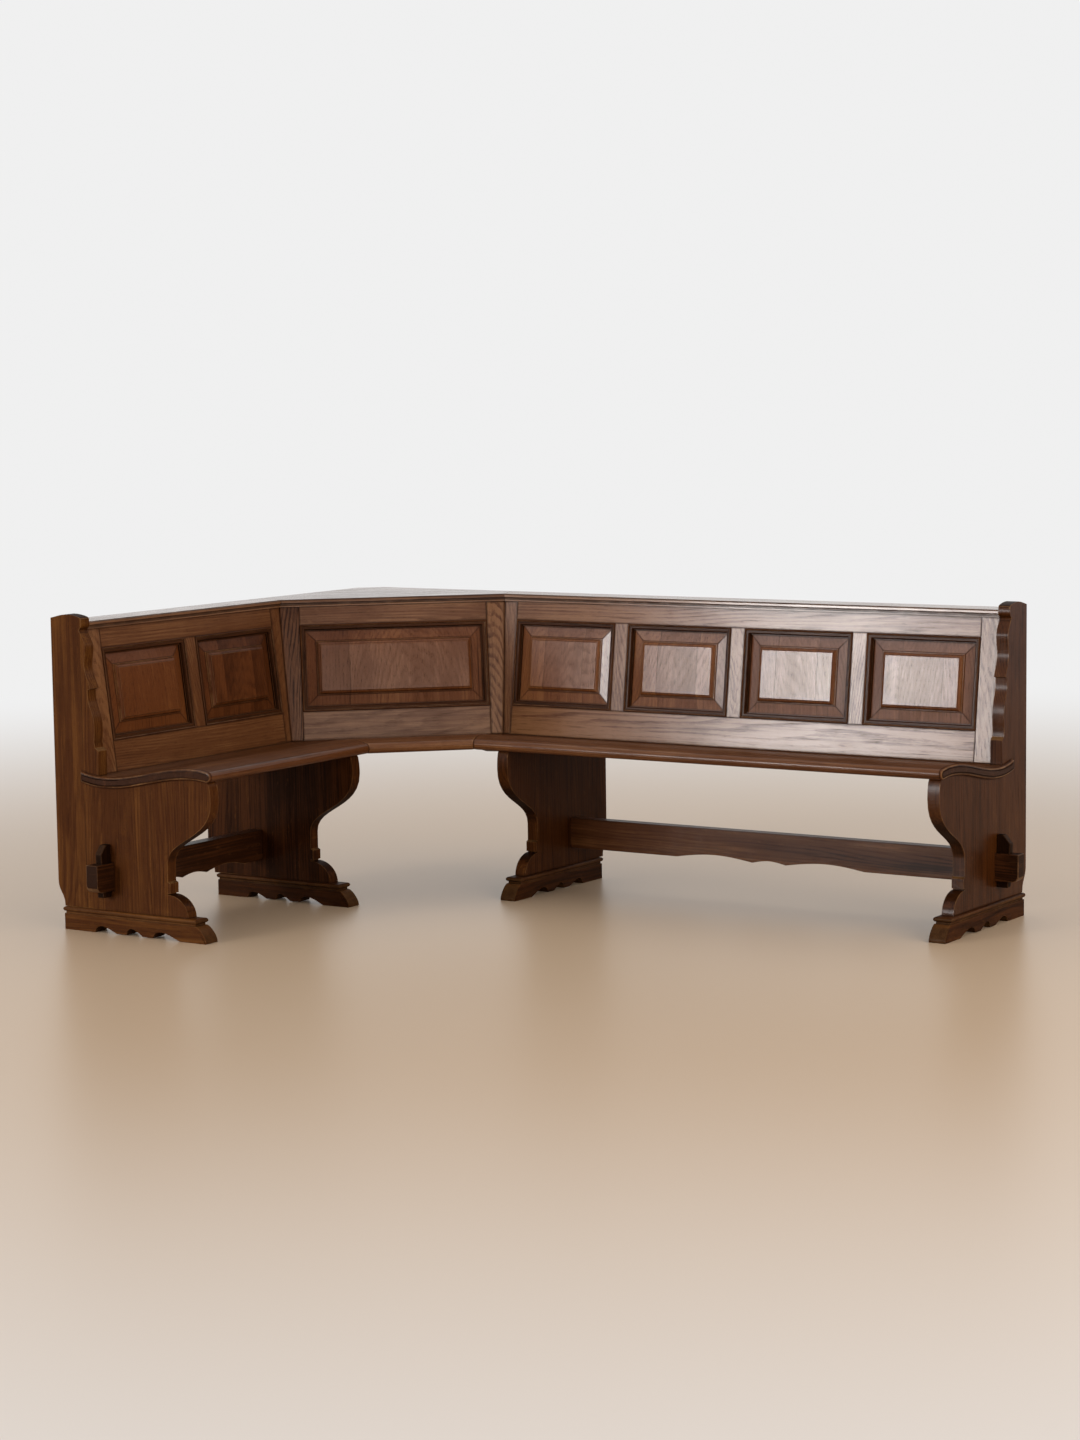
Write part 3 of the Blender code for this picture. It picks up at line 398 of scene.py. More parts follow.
def build_figure(tree: bpy.types.NodeTree) -> None:
    """The figure of sawn oak: porous early wood, fibre streaks, open pores, ray flecks and broad clouds.

    Args:
        tree: The empty group.
    """
    wires, given, result = open_group(
        tree, {"Vector": "Timber"}, {"Float": "Bands Streaks Pores Flecks Clouds"})
    timber = given["Timber"]
    reach = wires.vector("LENGTH", wires.stretch(wires.shift(timber, PITH), OVAL))["Value"]
    parts = wires.node("ShaderNodeSeparateXYZ", Vector=timber)
    radius = wires.scaled(parts.outputs["X"], TAPER, reach)
    for grain, swing in ((Grain.SWAY, 0.040), (Grain.RIPPLE, 0.0018), (Grain.UNEVEN, 0.016)):
        bend = wires.math("SUBTRACT", wires.noise(timber, grain), 0.5)
        radius = wires.scaled(bend, swing, radius)
    turn = wires.math("FRACT", wires.math("DIVIDE", radius, RING))
    early = wires.times(wires.ramp(turn, 0.0, 0.14), wires.ramp(turn, 0.20, 0.66, 1.0, 0.0))
    strength = wires.ramp(wires.noise(timber, Grain.STRENGTH), 0.35, 0.65, 0.15, 1.0)
    wires.put(result["Bands"], wires.times(early, strength))
    fine = wires.times(wires.noise(timber, Grain.FINE), 0.5)
    wires.put(result["Streaks"], wires.scaled(wires.noise(timber, Grain.BROAD), 0.5, fine))
    dashes = wires.noise(timber, Grain.DASHES)
    long_dashes = wires.noise(timber, Grain.LONG_DASHES)
    both = wires.math("MAXIMUM", wires.ramp(dashes, 0.57, 0.67), wires.ramp(long_dashes, 0.61, 0.70))
    wires.put(result["Pores"], wires.times(both, wires.ramp(early, 0.0, 0.6, 0.28, 1.0)))
    flakes = wires.noise(timber, Grain.FLAKES)
    wires.put(result["Flecks"], wires.ramp(flakes, 0.66, 0.76))
    patches = wires.noise(timber, Grain.PATCHES)
    clouds = wires.times(wires.noise(timber, Grain.CLOUDS), 0.65)
    wires.put(result["Clouds"], wires.scaled(patches, 0.35, clouds))


def build_arrises(tree: bpy.types.NodeTree) -> None:
    """Worn edges with painted highlights, and grime with painted shade in hollows, from how sharply a board
    turns.

    Args:
        tree: The empty group.
    """
    wires, given, result = open_group(
        tree, {"Vector": "Board", "Float": "Arris"}, {"Float": "Wear Grime"})
    patchy = wires.noise(given["Board"], Grain.WORN)
    grainy = wires.noise(given["Board"], Grain.GRAINY)
    chance = wires.scaled(grainy, 0.35, wires.times(patchy, 0.75))
    # worn edges, partly painted highlights: a lighter colour on the arrises
    bare_and_highlit = wires.times(given["Arris"], chance)
    wires.put(result["Wear"], wires.ramp(bare_and_highlit, 0.30, 0.72))
    # grime in hollows, partly painted shade
    hollow = wires.times(given["Arris"], -1.0, clamp=True)
    wires.put(result["Grime"], wires.times(hollow, wires.ramp(patchy, 0.20, 0.60, 0.55, 1.0)))


def build_stain(tree: bpy.types.NodeTree) -> None:
    """Stained and varnished oak: colour, dullness, film and height from the figure and the arrises, with
    painted highlight and shade.

    Args:
        tree: The empty group.
    """
    wires, given, result = open_group(
        tree, {"Vector": "Board", "Color": "Dark Middle Light Rubbed",
               "Float": "Seed Arris Tone End Stave Phase Line Rings Contrast Wear Gloss Satin"},
        {"Color": "Colour", "Float": "Dullness Film Height"})
    staves = wires.effect(Effect.STAVES, Board=given["Board"], Seed=given["Seed"], Width=given["Stave"],
                          Phase=given["Phase"], Line=given["Line"])
    figure = wires.effect(Effect.FIGURE, Timber=staves["Timber"])
    edges = wires.effect(Effect.ARRISES, Board=given["Board"], Arris=given["Arris"])
    streak = wires.times(wires.scaled(figure["Streaks"], 2.0, -1.0), given["Contrast"])
    ringed = wires.math("SUBTRACT", 0.25, figure["Bands"])
    grain = wires.scaled(ringed, given["Rings"], streak)
    cloud = wires.scaled(figure["Clouds"], 1.2, -0.60)
    piece = wires.scaled(staves["Tone"], 0.20, -0.10)
    level = wires.math("ADD", wires.math("ADD", grain, cloud), wires.math("ADD", piece, given["Tone"]))
    level = wires.math("ADD", level, wires.ramp(given["End"], *END_GRAIN, 0.5, -0.06))
    lower = wires.mix(wires.ramp(level, 0.0, 0.5), given["Dark"], given["Middle"])
    body = wires.mix(wires.ramp(level, 0.5, 1.05), lower, given["Light"])
    flecked = wires.mix(wires.times(figure["Flecks"], FLECK_COVER), body, given["Light"])
    pored = wires.mix(wires.times(figure["Pores"], PORE_COVER), flecked, PORE)
    jointed = wires.mix(wires.times(staves["Joint"], GLUE_COVER), pored, GLUE)
    # the worn colour on arrises is partly a painted highlight
    rub_and_highlight = wires.times(edges["Wear"], given["Wear"])
    rubbed = wires.mix(rub_and_highlight, jointed, given["Rubbed"])
    # grime darkens hollows and joints: partly painted shade
    wires.put(result["Colour"], wires.mix(wires.times(edges["Grime"], DIRT_AND_SHADE_COVER), rubbed, DIRT_AND_SHADE))
    dull = wires.scaled(figure["Pores"], 0.22, given["Satin"])
    dull = wires.scaled(edges["Grime"], 0.18, dull)
    dull = wires.scaled(wires.math("SUBTRACT", figure["Clouds"], 0.5), 0.20, dull)
    wires.put(result["Dullness"], wires.math("ADD", dull, wires.times(rub_and_highlight, 0.06), clamp=True))
    film = relief = 1.0
    for mark, thinner, deeper in ((figure["Pores"], -0.60, -1.0), (figure["Bands"], -0.16, -0.25),
                                  (staves["Joint"], -0.8, -0.8)):
        film = wires.scaled(mark, thinner, film)
        relief = wires.scaled(mark, deeper, relief)
    film = wires.times(film, wires.ramp(figure["Clouds"], 0.38, 0.60, 0.80, 1.04))
    # the painted shade and grime also thin the varnish film in hollows and joints
    film = wires.times(film, wires.scaled(edges["Grime"], -0.95, 1.0))
    film = wires.times(film, wires.ramp(figure["Streaks"], 0.30, 0.70, 0.84, 1.06))
    film = wires.times(film, wires.ramp(given["End"], *END_GRAIN, 1.0, 0.40))
    wires.put(result["Film"], wires.times(film, given["Gloss"], clamp=True))
    wires.put(result["Height"], wires.scaled(figure["Streaks"], 0.35, relief))


class Finish:
    """What all finishes share: a name, a slot and a material that is built once."""

    name: str
    slot: str

    def material(self) -> bpy.types.Material:
        """The finish's material, built at the first call.

        Returns:
            The material.
        """
        found = bpy.data.materials.get(self.name)
        if found is None:
            found = bpy.data.materials.new(self.name)
            found.use_nodes = True
            self.wire(Wiring(found.node_tree))
        return found

    def wire(self, wires: Wiring) -> None:
        """Builds the material's nodes in its empty tree."""
        raise NotImplementedError


@dataclass(frozen=True)
class OakFinish(Finish):
    """One stain of the oak, under the same varnish.

    Fields are linear colours, shares from 0 to 1 and lengths in metres. slot is not used.
    """

    name: str
    slot: str
    dark: Colour
    middle: Colour
    light: Colour
    rubbed: Colour
    stave: float = 0.14
    phase: float = 0.5
    glue_line: float = 0.0012
    rings: float = 0.24
    contrast: float = 0.9
    wear: float = 0.6
    gloss: float = 0.80
    satin: float = 0.45
    sheen: float = 0.10
    film_roughness: float = 0.20
    relief: float = 0.24

    def wire(self, wires: Wiring) -> None:
        """Stains the board by what its mesh says of it, under a film of varnish.

        Args:
            wires: The material's empty tree.
        """
        board = wires.node("ShaderNodeAttribute", {"attribute_name": "board"}).outputs["Vector"]
        marks = {mark: wires.node("ShaderNodeAttribute", {"attribute_name": mark.lower()}).outputs["Fac"]
                 for mark in ("Seed", "Arris", "Tone", "End")}
        colours = {"Dark": self.dark, "Middle": self.middle, "Light": self.light, "Rubbed": self.rubbed}
        stain = wires.effect(
            Effect.STAIN, Board=board, **marks, **{name: (*colour, 1.0) for name, colour in colours.items()},
            Stave=self.stave, Phase=self.phase, Line=self.glue_line, Rings=self.rings,
            Contrast=self.contrast, Wear=self.wear, Gloss=self.gloss, Satin=self.satin)
        bump = wires.node("ShaderNodeBump", Strength=self.relief, Distance=0.0006, Height=stain["Height"])
        shader = wires.node(
            "ShaderNodeBsdfPrincipled", Base_Color=stain["Colour"], Roughness=stain["Dullness"],
            Coat_Weight=stain["Film"], Coat_Roughness=self.film_roughness, Specular_IOR_Level=self.sheen,
            Normal=bump.outputs["Normal"])
        wires.node("ShaderNodeOutputMaterial", Surface=shader.outputs["BSDF"])


@dataclass(frozen=True)
class SteelFinish(Finish):
    """Bright drawn steel of the coupling plates and their screws, dulled in patches."""

    name: str = "coupling_steel"
    slot: str = "steel"
    colour: Colour = (0.36, 0.35, 0.34)
    tarnish: Colour = (0.24, 0.22, 0.20)

    def wire(self, wires: Wiring) -> None:
        """Draws fine lines along the steel and dulls it in patches.

        Args:
            wires: The material's empty tree.
        """
        place = wires.node("ShaderNodeTexCoord").outputs["Object"]
        patches = wires.ramp(wires.noise(place, Grain.TARNISH), 0.40, 0.72)
        lines = wires.noise(place, Grain.DRAWN)
        colour = wires.mix(patches, (*self.colour, 1.0), (*self.tarnish, 1.0))
        dull = wires.scaled(patches, 0.15, wires.scaled(lines, 0.12, 0.36))
        bump = wires.node("ShaderNodeBump", Strength=0.08, Distance=0.0001, Height=lines)
        shader = wires.node("ShaderNodeBsdfPrincipled", Base_Color=colour, Metallic=1.0, Roughness=dull,
                            Normal=bump.outputs["Normal"])
        wires.node("ShaderNodeOutputMaterial", Surface=shader.outputs["BSDF"])


FRAME_OAK = OakFinish("frame_oak_varnished", "frame_oak", (0.034, 0.0105, 0.0034), (0.096, 0.0335, 0.0112),
                      (0.182, 0.076, 0.0270), (0.245, 0.126, 0.056), stave=0.40, contrast=0.75, gloss=0.74,
                      sheen=0.05)
CAP_OAK = replace(FRAME_OAK, name="cap_oak_varnished", gloss=1.0, film_roughness=0.14, relief=0.10,
                  sheen=0.2)
RAIL_OAK = replace(FRAME_OAK, name="rail_oak_varnished", film_roughness=0.16, gloss=0.60)
STILE_OAK = replace(FRAME_OAK, name="stile_oak_varnished", rings=0.70, contrast=1.0)
SHADED_STILE_OAK = replace(STILE_OAK, name="shaded_stile_oak_varnished", gloss=0.42)
# darker colours paint shade into the mouldings, with less gloss
SHADED_MOULDING_OAK = replace(FRAME_OAK, name="moulding_oak_varnished", dark=(0.016, 0.0047, 0.0014),
                       middle=(0.054, 0.0165, 0.0046), light=(0.110, 0.040, 0.0125), wear=0.5, gloss=0.16)
PANEL_OAK = OakFinish("panel_oak_varnished", "panel_oak", (0.044, 0.0118, 0.0030), (0.106, 0.0310, 0.0080),
                      (0.190, 0.067, 0.0185), (0.230, 0.108, 0.042), stave=0.135, rings=0.11, contrast=0.5,
                      sheen=0.05)
CORNER_PANEL_OAK = replace(PANEL_OAK, name="corner_panel_oak_varnished", stave=0.40, glue_line=0.0030)
SHADED_PANEL_OAK = replace(PANEL_OAK, name="shaded_panel_oak_varnished", gloss=0.35)
SEAT_OAK = OakFinish("seat_oak_varnished", "seat_oak", (0.027, 0.0078, 0.0021), (0.086, 0.0275, 0.0078),
                     (0.165, 0.066, 0.0215), (0.250, 0.130, 0.056), stave=0.118, wear=0.75, gloss=0.45,
                     sheen=0.05)
LEG_OAK = OakFinish("leg_oak_varnished", "leg_oak", (0.018, 0.0050, 0.0010), (0.051, 0.0148, 0.0031),
                    (0.120, 0.044, 0.0090), (0.200, 0.096, 0.033), stave=0.120, phase=0.56, rings=0.25,
                    contrast=0.85, gloss=0.08, satin=0.52, sheen=0.03)
FOOT_OAK = replace(LEG_OAK, name="foot_oak_varnished", wear=0.22)
FAR_LEG_OAK = replace(LEG_OAK, name="far_leg_oak_varnished", gloss=0.34, film_roughness=0.24)
BAR_OAK = OakFinish("bar_oak_varnished", "leg_oak", (0.018, 0.0054, 0.0016), (0.062, 0.0195, 0.0058),
                    (0.130, 0.052, 0.0170), (0.210, 0.105, 0.046), stave=0.40, contrast=0.75, gloss=0.26,
                    satin=0.50, sheen=0.05)
KEY_OAK = OakFinish("key_oak_varnished", "key_oak", (0.004, 0.0015, 0.0006), (0.0105, 0.0036, 0.0012),
                    (0.026, 0.0096, 0.0032), (0.080, 0.035, 0.014), stave=0.5, wear=0.35, gloss=0.06,
                    satin=0.52, sheen=0.03)
STEEL = SteelFinish()


def alone(piece: bpy.types.Object) -> None:
    """Selects one object and makes it active.

    Args:
        piece: The object.
    """
    bpy.ops.object.select_all(action="DESELECT")
    piece.select_set(True)
    bpy.context.view_layer.objects.active = piece


def applied(piece: bpy.types.Object, kind: str, **settings: object) -> None:
    """Adds a modifier with its settings and applies it.

    Args:
        piece: The active object.
        kind: Blender's name of the modifier's type.
        settings: Values of the modifier's properties.
    """
    modifier = piece.modifiers.new(kind.lower(), kind)
    for name, value in settings.items():
        setattr(modifier, name, value)
    bpy.ops.object.modifier_apply(modifier=modifier.name)


def merged_copy(node: str) -> bpy.types.Object:
    """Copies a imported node, with its triangles merged into whole faces.

    Args:
        node: The node's name.

    Returns:
        The copy, which is the active object.
    """
    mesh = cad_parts[node].data.copy()
    piece = bpy.data.objects.new(f"{node}_worked", mesh)
    mesh.name = piece.name
    bpy.context.scene.collection.objects.link(piece)
    alone(piece)
    bpy.ops.mesh.customdata_custom_splitnormals_clear()
    bpy.ops.object.mode_set(mode="EDIT")
    bpy.ops.mesh.select_mode(type="FACE")
    bpy.ops.mesh.select_all(action="SELECT")
    bpy.ops.mesh.remove_doubles(threshold=MERGE)
    bpy.ops.mesh.dissolve_limited(angle_limit=FLAT)
    bpy.ops.object.mode_set(mode="OBJECT")
    return piece


class Meeting:
    """Measures how near the other packed boards come to the surface of one board."""

    trees: dict[str, BVHTree] = {}

    def __init__(self, node: str, reach: float) -> None:
        """Keeps the boards whose boxes come near this board's box.

        Args:
            node: The board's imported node.
            reach: How near another board has to come.
        """
        self.reach = reach
        low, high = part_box(node)
        self.near = []
        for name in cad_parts:
            their_low, their_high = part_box(name)
            beside = any(their_low[i] > high[i] + reach or low[i] > their_high[i] + reach for i in range(3))
            if name != node and not beside:
                self.near.append(self.tree(name))

    @classmethod
    def tree(cls, name: str) -> BVHTree:
        """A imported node's faces, sorted for searching.

        Args:
            name: The node's name.

        Returns:
            The faces, sorted once for each node.
        """
        if name not in cls.trees:
            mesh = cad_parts[name].data
            cls.trees[name] = BVHTree.FromPolygons([v.co[:] for v in mesh.vertices],
                                                   [face.vertices[:] for face in mesh.polygons])
        return cls.trees[name]

    def shade_and_dirt(self, spot: Vector) -> float:
        """Painted shade and grime near a joint: 1 where another board touches, falling to 0 at the reach.

        Args:
            spot: A point of the surface.

        Returns:
            The share of painted shade and grime there.
        """
        gap = self.reach
        for tree in self.near:
            found = tree.find_nearest(spot, gap)[3]
            gap = gap if found is None else min(gap, found)
        return 1.0 - gap / self.reach


@dataclass
class Board:
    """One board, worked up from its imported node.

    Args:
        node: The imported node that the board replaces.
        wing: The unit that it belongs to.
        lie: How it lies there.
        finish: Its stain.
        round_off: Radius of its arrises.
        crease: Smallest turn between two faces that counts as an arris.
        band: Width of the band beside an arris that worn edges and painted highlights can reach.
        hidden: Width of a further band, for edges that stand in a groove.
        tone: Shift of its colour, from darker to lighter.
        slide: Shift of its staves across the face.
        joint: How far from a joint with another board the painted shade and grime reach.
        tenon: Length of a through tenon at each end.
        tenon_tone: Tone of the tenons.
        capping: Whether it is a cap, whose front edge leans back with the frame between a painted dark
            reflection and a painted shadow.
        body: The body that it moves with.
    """

    node: str
    wing: Wing
    lie: Lie
    finish: OakFinish
    round_off: float = 0.0012
    crease: float = CREASE
    band: float = 0.0045
    hidden: float = 0.0
    tone: float = 0.0
    slide: float = 0.0
    joint: float = 0.0030
    tenon: float = 0.0
    tenon_tone: float = 0.0
    capping: bool = False
    body: str = "bench"

    def build(self) -> None:
        """Makes the finished piece in place of its node, riding on its body."""
        piece = merged_copy(self.node)
        if self.capping:
            self.lean_front(piece)
        self.set_off_bands(piece)
        self.round_arrises(piece)
        self.dress(piece)
        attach(piece, self.body)
        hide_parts(self.node)
        LOG.info("%s: %d faces, %s", piece.name, len(piece.data.polygons), self.finish.name)

    def lean_front(self, piece: bpy.types.Object) -> None:
        """Leans the moulded front edge back like the frame under it, along the mitre where it has one.

        Args:
            piece: The merged copy of the node.
        """
        along, wall, _ = self.wing.ways()
        low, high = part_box(self.node)
        middle = (low + high) / 2
        front = min(wall.dot(corner.co) for corner in piece.data.vertices)
        for corner in piece.data.vertices:
            if wall.dot(corner.co) > front + CAP_EDGE:
                continue
            side = math.copysign(1.0, along.dot(corner.co - middle))
            mitred = self.wing is Wing.CORNER or (side < 0) == (self.wing is Wing.LONG)
            way = wall + along * side * math.tan(MITRE) if mitred else wall
            corner.co += way * (corner.co.z - high.z + CAP_LIP) * math.tan(RECLINE)

    def set_off_bands(self, piece: bpy.types.Object) -> None:
        """Insets every smooth stretch of the surface, so that worn edges and painted highlights stay near the
        arrises.

        Args:
            piece: The merged copy of the node.
        """
        alone(piece)
        bpy.ops.object.mode_set(mode="EDIT")
        bpy.ops.mesh.select_mode(type="FACE")
        mesh = bmesh.from_edit_mesh(piece.data)
        mark = mesh.faces.layers.int.new("stretch")
        widths = []
        for start in mesh.faces:
            if start[mark]:
                continue
            widths.append(self.mark_stretch(start, mark, len(widths) + 1))
        for number, width in enumerate(widths, 1):
            if width < BAND_ROOM * self.band:
                continue
            bpy.ops.mesh.select_all(action="DESELECT")
            mesh = bmesh.from_edit_mesh(piece.data)
            mark = mesh.faces.layers.int["stretch"]
            for face in mesh.faces:
                face.select_set(face[mark] == number)
            bmesh.update_edit_mesh(piece.data)
            bpy.ops.mesh.inset(thickness=self.band, use_boundary=True, use_even_offset=True)
            if self.hidden and width > BAND_ROOM * (self.band + self.hidden):
                bpy.ops.mesh.inset(thickness=self.hidden, use_boundary=True, use_even_offset=True)
        mesh = bmesh.from_edit_mesh(piece.data)
        mesh.faces.layers.int.remove(mesh.faces.layers.int["stretch"])
        bmesh.update_edit_mesh(piece.data)
        bpy.ops.object.mode_set(mode="OBJECT")

    def mark_stretch(self, start: bmesh.types.BMFace, mark: bmesh.types.BMLayerItem, number: int) -> float:
        """Numbers the faces that run smoothly into one face.

        Args:
            start: The face to start from.
            mark: The layer that holds the numbers.
            number: The number to write.

        Returns:
            A mean width of that stretch of the surface.
        """
        start[mark] = number
        waiting = [start]
        area = rim = 0.0
        while waiting:
            face = waiting.pop()
            area += face.calc_area()
            for edge in face.edges:
                smooth = len(edge.link_faces) == 2 and edge.calc_face_angle() < self.crease
                if not smooth:
                    rim += edge.calc_length()
                    continue
                for other in edge.link_faces:
                    if not other[mark]:
                        other[mark] = number
                        waiting.append(other)
        return 2 * area / rim if rim else 0.0

    def round_arrises(self, piece: bpy.types.Object) -> None:
        """Rounds the arrises and evens the shading beside them.

        Args:
            piece: The board with its bands.
        """
        alone(piece)
        applied(piece, "BEVEL", width=self.round_off, segments=2, limit_method="ANGLE",
                angle_limit=self.crease, miter_outer="MITER_ARC", use_clamp_overlap=True)
        low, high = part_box(self.node)
        for corner in piece.data.vertices:
            corner.co = [min(max(value, least), most) for value, least, most in zip(corner.co, low, high)]
        bpy.ops.object.shade_smooth_by_angle(angle=SMOOTH)
        applied(piece, "WEIGHTED_NORMAL", keep_sharp=True, weight=60)

    def dress(self, piece: bpy.types.Object) -> None:
        """Writes the board's own coordinates and arrises to its mesh, and gives it its finish.

        Args:
            piece: The rounded board.
        """
        mesh = piece.data
        low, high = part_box(self.node)
        middle = (low + high) / 2
        upright = self.lie.axes(self.wing)
        level = Lie.RAIL.axes(self.wing)
        half = [max(abs(row.dot(v.co - middle)) for v in mesh.vertices) for row in (upright[0], upright[1])]
        spots = []
        for face in mesh.polygons:
            axes = upright
            if self.lie is Lie.FRAMED:
                away = face.center - middle
                beside = half[1] - abs(upright[1].dot(away))
                above = half[0] - abs(upright[0].dot(away))
                axes = upright if beside < above else level
            for corner in face.vertices:
                spot = axes @ (mesh.vertices[corner].co - middle)
                spots.extend((spot.x, spot.y + self.slide, spot.z))
        mesh.attributes.new("board", "FLOAT_VECTOR", "CORNER").data.foreach_set("vector", spots)
        seed = float(sum(ord(letter) * (place + 1) for place, letter in enumerate(self.node)) % 997)
        shoulder = half[0] - self.tenon + FLUSH
        tones = [self.tenon_tone if abs(upright[0].dot(corner.co - middle)) > shoulder else self.tone
                 for corner in mesh.vertices]
        fibre = Vector() if self.lie is Lie.FRAMED else upright[0]
        ends = [abs(fibre.dot(corner.normal)) for corner in mesh.vertices]
        marks = {"arris": self.turns(mesh), "seed": [seed] * len(tones), "tone": tones, "end": ends}
        for name, values in marks.items():
            mesh.attributes.new(name, "FLOAT", "POINT").data.foreach_set("value", values)
        mesh.materials.clear()
        mesh.materials.append(self.finish.material())

    def turns(self, mesh: bpy.types.Mesh) -> list[float]:
        """How sharply each corner turns, from -1 in a hollow to 1 on an arris; painted shade and grime give
        -1 near joints.

        Args:
            mesh: The rounded board's mesh.

        Returns:
            A value for each corner of the mesh, in its order.
        """
        shape = bmesh.new()
        shape.from_mesh(mesh)
        meeting = Meeting(self.node, self.joint)
        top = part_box(self.node)[1].z
        values = []
        for corner in shape.verts:
            angles = [edge.calc_face_angle_signed(0.0) for edge in corner.link_edges]
            sharpest = max(angles, key=abs, default=0.0)
            strength = math.degrees(abs(sharpest)) / SOFT_TURN - 1.0
            turn = math.copysign(min(1.0, max(0.0, strength)), sharpest)
            # painted shade and grime where another board comes near
            shade_and_dirt = meeting.shade_and_dirt(corner.co)
            cove = FLUSH / 4 < top - CAP_LIP - corner.co.z < CAP_COVE
            # a cap gets a painted shadow in its cove and a painted dark reflection on its upper arris
            if self.capping and (cove or CAP_ARRIS[0] < corner.normal.z < CAP_ARRIS[1]):
                shade_and_dirt = max(shade_and_dirt, CAP_PAINTED_SHADE)
            values.append(min(turn, -shade_and_dirt) if shade_and_dirt > LEAST_DIRT_AND_SHADE else turn)
        shape.free()
        return values


class Unit:
    """What all units share: the start of their nodes' names, their place and how a board is made."""

    name: str
    wing: Wing

    def board(self, part: str, lie: Lie, finish: OakFinish, **more: object) -> None:
        """Builds the board whose node's name ends with the part's name."""
        Board(f"{self.name}_{part}", self.wing, lie, finish, **more).build()

    def panel(self, number: str, finish: OakFinish, **more: object) -> None:
        """Builds a panel and the moulding round it."""
        self.board(f"panel{number}", Lie.UPRIGHT, finish, **PANEL_EDGES, **more)
        self.board(f"panel_moulding{number}", Lie.FRAMED, SHADED_MOULDING_OAK, **MOULDING_EDGES)


@dataclass
class StraightBench(Unit):
    """One straight bench: two legs on sledge feet, a keyed stretcher, a dished seat and a panelled back.

    Args:
        name: Start of its nodes' names.
        wing: Its place in the bench.
        leg_tones_and_shade: Tone of its end board, its inner leg and its stretcher; the short bench's dark
            stretcher tone is painted shade.
        leg_finish: Finish of the end board.
        foot_tones: Tone of the end foot and the inner foot.
        frame_tone_and_light: Tone of the back's frame and of the cap, raised on the short bench as painted
            light from above and the right.
        panel_tones: Tone of each panel of its back.
        panel_finish: Finish of the panels.
        tenon_tone: Tone of the stretcher's tenons.
        cap_highlight_lift: How much lighter the cap is than the frame, a painted highlight on its lip.
    """

    name: str
    wing: Wing
    leg_tones_and_shade: tuple[float, float, float]
    leg_finish: OakFinish
    foot_tones: tuple[float, float]
    frame_tone_and_light: float
    panel_tones: tuple[float, ...]
    panel_finish: OakFinish
    tenon_tone: float = -0.42
    cap_highlight_lift: float = 0.12

    def build(self) -> None:
        """Builds the bench from the floor up."""
        self.build_legs()
        self.build_stretcher()
        self.build_seat()
        self.build_back()

    def build_legs(self) -> None:
        """The end board, the inner leg and their feet."""
        end, inner, _ = self.leg_tones_and_shade
        self.board("end_board", Lie.LEG, self.leg_finish, tone=end, **LEG_EDGES)
        self.board("inner_leg", Lie.LEG, LEG_OAK, tone=inner, **LEG_EDGES)
        for part, tone in zip(("end_foot", "inner_foot"), self.foot_tones):
            self.board(part, Lie.FOOT, FOOT_OAK, tone=tone, **FOOT_EDGES)

    def build_stretcher(self) -> None:
        """The stretcher and the two keys that draw it tight."""
        self.board("stretcher", Lie.STRETCHER, BAR_OAK, tone=self.leg_tones_and_shade[2], tenon=TENON,
                   tenon_tone=self.tenon_tone, **LEG_EDGES)
        for end in ("end", "inner"):
            self.board(f"{end}_key", Lie.KEY, KEY_OAK, body=f"{self.name}_{end}_wedge", **KEY_EDGES)

    def build_seat(self) -> None:
        """The dished seat."""
        self.board("seat", Lie.TOP, SEAT_OAK, **SEAT_EDGES)

    def build_back(self) -> None:
        """The frame, its panels and mouldings, and the cap."""
        for part in ("top_rail", "bottom_rail"):
            self.board(part, Lie.RAIL, RAIL_OAK, tone=self.frame_tone_and_light)
        self.board("corner_stile", Lie.UPRIGHT, FRAME_OAK, tone=self.frame_tone_and_light, **SEAM_EDGES)
        self.board("end_stile", Lie.UPRIGHT, FRAME_OAK, tone=self.frame_tone_and_light)
        muntins = len(self.panel_tones) - 1
        for number in range(1, muntins + 1):
            self.board(f"muntin_{number}" if muntins > 1 else "muntin", Lie.UPRIGHT, FRAME_OAK,
                       tone=self.frame_tone_and_light)
        for number, tone in enumerate(self.panel_tones, 1):
            self.panel(f"_{number}", self.panel_finish, tone=tone)
        self.board("cap", Lie.TOP, CAP_OAK, tone=self.frame_tone_and_light + self.cap_highlight_lift, **CAP_EDGES)


@dataclass
class CornerUnit(Unit):
    """The diagonal unit: a seat, a panelled back and a shelf that fills the corner.

    Args:
        name: Start of its nodes' names.
        wing: Its place in the bench.
        bearer_tone: Tone of the two bearers.
        rail_tone: Tone of the rails.
        stile_tones: Tone of the stile towards the short bench and of the one towards the long bench.
        panel_tone: Tone of the panel.
        panel_slide: Shift of the panel's staves, which puts a glue line where the photograph has one.
        shelf_tone_and_highlight: Tone of the shelf, raised as a painted highlight on its lip.
    """

    name: str = "corner"
    wing: Wing = Wing.CORNER
    bearer_tone: float = -0.1
    rail_tone: float = 0.10
    stile_tones: tuple[float, float] = (-0.06, 0.42)
    panel_tone: float = 0.08
    panel_slide: float = -0.459
    shelf_tone_and_highlight: float = 0.25

    def build(self) -> None:
        """Builds the corner from its bearers up."""
        for part in ("bearer_short_side", "bearer_long_side"):
            self.board(part, Lie.FOOT, LEG_OAK, tone=self.bearer_tone)
        self.board("seat", Lie.TOP, SEAT_OAK, **SEAT_EDGES)
        for part in ("top_rail", "bottom_rail"):
            self.board(part, Lie.RAIL, FRAME_OAK, tone=self.rail_tone)
        self.board("short_side_stile", Lie.UPRIGHT, SHADED_STILE_OAK, tone=self.stile_tones[0])
        self.board("long_side_stile", Lie.UPRIGHT, STILE_OAK, tone=self.stile_tones[1], **SEAM_EDGES)
        self.panel("", CORNER_PANEL_OAK, tone=self.panel_tone, slide=self.panel_slide)
        self.board("shelf", Lie.TOP, CAP_OAK, tone=self.shelf_tone_and_highlight, **CAP_EDGES)


